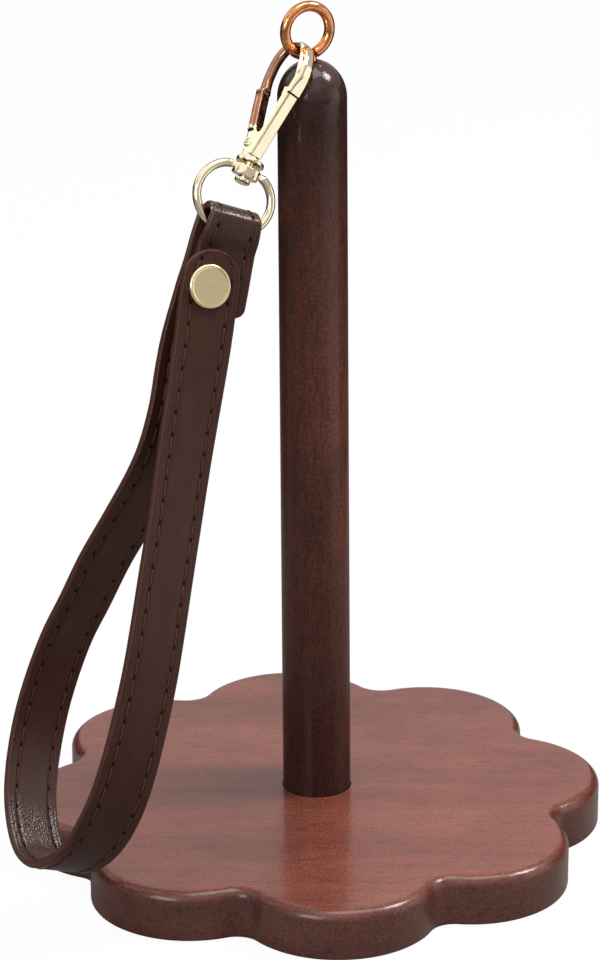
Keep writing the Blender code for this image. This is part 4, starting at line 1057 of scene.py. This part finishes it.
def stitch(start, pitch, side, face):
    """The thread that one face of the strap shows between two needle holes."""
    points, outs = [], []
    for share in (0.11, 0.3, 0.5, 0.7, 0.89):
        height = STRAP_THICKNESS / 2 - THREAD_SUNK + THREAD_RISE * math.sin(math.pi * share)
        on, out, _ = stitched_place(start + share * pitch, side, face * height)
        points.append(on)
        outs.append(out)
    return sweep(points, outs)


def needle_hole(station, side, face):
    """The painted shade of a needle's hole: a low, near-black dimple in one face of the strap."""
    on, out, across = stitched_place(station, side, face * (STRAP_THICKNESS / 2 - HOLE_SUNK))
    out = unit(out)
    along = unit(strap_point(station + FIT, across, 0) - strap_point(station - FIT, across, 0))
    wide = np.cross(along, out)
    return skin([on - out * HOLE_DEPTH] + [
        oval(on + out * rise, along * half_length, wide * half_width, 12)
        for rise, half_length, half_width in HOLE_RINGS])


def make_stitches():
    threads, holes = [], []
    for side, pitch, first in STITCH_ROWS:
        for start in first + np.arange(int(TOTAL / pitch) + 1) * pitch:
            if start < FIRST_STITCH or start + pitch > TOTAL - LAST_STITCH:
                continue
            for face in (1, -1):
                threads.append(stitch(start, pitch, side, face))
                holes.append(needle_hole(start, side, face))
    piece("strap_stitches", together(threads), THREAD, "strap", sharp=80)
    piece("strap_needle_holes", together(holes), PAINTED_HOLE_SHADE, "strap", sharp=80)


# ---------- rivet ----------

# The fold's sag and twist don't move the rivet's middle
RIVET_ASIDE = TAB_SHIFT + 0.0003
RIVET_MIDDLE = STRAP_HANG + STRAP_DOWN * RIVET_FROM_RING - STRAP_ACROSS * RIVET_ASIDE
CAP_EDGE, CAP_FOOT, CAP_SUNK, CAP_STEP_SUNK = 0.00042, 0.0002, 0.00007, 0.00005


def rivet_cap(seat, out, radius, height):
    """A cap with a rolled rim and a sunk face; out is 1 towards the back and -1 to the front."""
    profile = [(0, 0), (radius - CAP_FOOT, 0), (radius, CAP_FOOT)]
    profile += arc(radius - CAP_EDGE, height - CAP_EDGE, CAP_EDGE,
                   np.linspace(0, math.radians(115), 10))
    profile.append((radius * 0.83, height - CAP_STEP_SUNK))
    profile += [(radius * share, height - CAP_SUNK) for share in (0.815, 0.8, 0.7, 0.5, 0.25, 0)]
    profile = [(wide, seat + out * along) for wide, along in profile]
    return lathe(profile, RIVET_MIDDLE, STRAP_BACK, STRAP_ACROSS, 72)


def make_rivet():
    front = FRONT_LAYER - STRAP_THICKNESS / 2
    rear = REAR_LAYER + STRAP_THICKNESS / 2
    tube = lathe([(0, front), (RIVET_TUBE_RADIUS, front), (RIVET_TUBE_RADIUS, rear), (0, rear)],
                 RIVET_MIDDLE, STRAP_BACK, STRAP_ACROSS, 24)
    face = rivet_cap(front, -1, RIVET_CAP_RADIUS, FACE_CAP_HEIGHT)
    piece("rivet_face_cap", together([face, tube]), CAP_GOLD, "strap",
          ["rivet_cap"])
    piece("rivet_back_cap", rivet_cap(rear, 1, REAR_CAP_RADIUS, REAR_CAP_HEIGHT), CAP_GOLD,
          "strap", ["rivet_post"])


# ---------- studio ----------

def ray_is(tree, *names):
    """One for the named kinds of ray, and none for the rest."""
    path = tree.nodes.new("ShaderNodeLightPath")
    total = path.outputs[names[0]]
    for name in names[1:]:
        greater = add_node(tree, "ShaderNodeMath", operation="MAXIMUM")
        feed(tree, greater, {0: total, 1: path.outputs[name]})
        total = greater.outputs[0]
    return total


def mix_shaders(tree, share, first, second):
    mix = tree.nodes.new("ShaderNodeMixShader")
    feed(tree, mix, {0: share, 1: first.outputs[0], 2: second.outputs[0]})
    return mix


def to_camera(tree, seen, unseen):
    """A shader that the camera sees, also through glass, and one for all other rays."""
    return mix_shaders(tree, ray_is(tree, "Is Camera Ray", "Is Transmission Ray"), unseen, seen)


def light(tree, kind, colour, strength):
    return add_node(tree, "ShaderNode" + kind, Color=(*colour, 1.0), Strength=strength)


def send_out(tree, shader, kind="ShaderNodeOutputMaterial"):
    feed(tree, tree.nodes.new(kind), {0: shader.outputs[0]})


def sheet(name, corners):
    """A flat four-sided sheet, and the empty node tree of its material."""
    mesh = bpy.data.meshes.new(name)
    mesh.from_pydata(corners, [], [(0, 1, 2, 3)])
    finish = bpy.data.materials.new(name)
    finish.use_nodes = True
    finish.node_tree.nodes.clear()
    mesh.materials.append(finish)
    return new_object(name, mesh), finish.node_tree


WHITE = (1.0, 1.0, 1.0)
FLOOR_REACH = 4.0
FLOOR_DROP = 0.00005


def make_floor():
    floor, tree = sheet("floor", [(x * FLOOR_REACH, y * FLOOR_REACH, 0)
                                  for x, y in ((-1, -1), (1, -1), (1, 1), (-1, 1))])
    floor.location.z = -FLOOR_DROP
    pale = add_node(tree, "ShaderNodeBsdfDiffuse", Color=(0.95, 0.95, 0.95, 1.0))
    dull = add_node(tree, "ShaderNodeBsdfDiffuse", Color=(0.32, 0.31, 0.30, 1.0))
    seen = mix_shaders(tree, 0.95, pale, light(tree, "Emission", WHITE, 1.0))
    send_out(tree, to_camera(tree, seen, dull))


def make_world():
    world = bpy.data.worlds.new("studio")
    bpy.context.scene.world = world
    world.use_nodes = True
    tree = world.node_tree
    tree.nodes.clear()
    seen = light(tree, "Background", WHITE, 1.0)
    mirrored = light(tree, "Background", (1.0, 0.98, 0.97), 0.52)
    soft = light(tree, "Background", (1.0, 0.99, 0.98), 0.30)
    unseen = mix_shaders(tree, ray_is(tree, "Is Glossy Ray"), soft, mirrored)
    send_out(tree, to_camera(tree, seen, unseen), "ShaderNodeOutputWorld")


# Each lamp: its place, what it points at, its size, its power and its colour
LAMPS = {
    "key": ((0.68, 0.04, 0.92), (0, 0, 0.08), (0.32, 0.32), 7.4, (1.0, 0.98, 0.96)),
    "top": ((0.10, -0.10, 1.05), (0, 0, 0.05), (0.60, 0.50), 4.0, WHITE),
    "fill": ((-0.55, -0.95, 0.55), (0, 0, 0.08), (0.5, 0.5), 4.4, WHITE),
}


def make_lamp(name, place, target, size, power, colour):
    lamp = bpy.data.lights.new(name, "AREA")
    lamp.shape = "RECTANGLE"
    lamp.size, lamp.size_y = size
    lamp.energy = power
    lamp.color = colour
    made = new_object(name, lamp)
    made.location = place
    made.rotation_mode = "QUATERNION"
    made.rotation_quaternion = (Vector(target) - Vector(place)).to_track_quat("-Z", "Y")


# Pale cards and dark flags that only reflections see, as in a product studio: the brightness
# of each, and its corners
CARDS = {
    "card_low": (1.1, (0.20, -0.42, 0.004), (0.75, -0.42, 0.004), (0.75, 0.0, 0.004),
                 (0.20, 0.0, 0.004)),
    "flag_low_left": (0.02, (-0.70, 0.05, 0.004), (-0.13, 0.05, 0.004), (-0.13, 0.62, 0.004),
                      (-0.70, 0.62, 0.004)),
    "flag_low_right": (0.02, (0.13, 0.01, 0.004), (0.70, 0.01, 0.004), (0.70, 0.62, 0.004),
                       (0.13, 0.62, 0.004)),
    "card_front": (1.1, (-0.40, -0.95, 0.55), (0.50, -0.95, 0.55), (0.50, -0.40, 1.0),
                   (-0.40, -0.40, 1.0)),
    "card_right": (1.15, (0.62, -0.32, -0.03), (0.62, 0.10, -0.03), (0.62, 0.10, 0.36),
                   (0.62, -0.32, 0.36)),
    "card_left": (1.25, (-0.60, -0.10, 0.33), (-0.46, 0.50, 0.33), (-0.40, 0.50, 0.80),
                  (-0.54, -0.10, 0.80)),
    "card_high": (1.1, (-0.55, -0.55, 0.85), (-0.10, -0.55, 0.95), (-0.10, 0.35, 0.95),
                  (-0.55, 0.35, 0.85)),
    "flag_left": (0.02, (-0.55, -0.02, -0.03), (-0.24, 0.62, -0.03), (-0.24, 0.62, 0.26),
                  (-0.55, -0.02, 0.31)),
    "flag_right": (0.02, (0.52, 0.14, -0.03), (0.24, 0.62, -0.03), (0.24, 0.62, 0.24),
                   (0.52, 0.14, 0.24)),
}


def make_card(name, shade, *corners):
    card, tree = sheet(name, corners)
    send_out(tree, light(tree, "Emission", (shade, shade, shade), 1.0))
    for kind in ("camera", "diffuse", "transmission", "volume_scatter", "shadow"):
        setattr(card, "visible_" + kind, False)


CAMERA_PITCH = math.radians(20.36)
CAMERA_ROLL = math.radians(-0.17)
CAMERA_DISTANCE = 0.7318
CAMERA_TARGET = (-0.00243, 0, 0.07434)
FOCUS_IN_PIXELS = 3786.0
PHOTO_HEIGHT = 960


def make_camera():
    camera = bpy.data.cameras.new("camera")
    camera.sensor_width = 36.0
    camera.lens = FOCUS_IN_PIXELS * camera.sensor_width / PHOTO_HEIGHT
    camera.clip_start, camera.clip_end = 0.01, 20
    made = new_object("camera", camera)
    made.matrix_world = (Matrix.Translation(CAMERA_TARGET)
                         @ Matrix.Rotation(math.pi / 2 - CAMERA_PITCH, 4, "X")
                         @ Matrix.Rotation(CAMERA_ROLL, 4, "Z")
                         @ Matrix.Translation((0, 0, CAMERA_DISTANCE)))
    bpy.context.scene.camera = made


make_foot()
make_post()
make_eye()
make_hook()
make_pin()
make_gate()
make_ring()
make_strap()
make_stitches()
make_rivet()
for node in ("dowel_screw", "gate_spring"):
    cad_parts[node].data.materials.clear()
    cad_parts[node].data.materials.append(STEEL)

make_floor()
make_world()
for name, values in LAMPS.items():
    make_lamp(name, *values)
for name, values in CARDS.items():
    make_card(name, *values)
make_camera()
bpy.context.scene.view_settings.view_transform = "Standard"
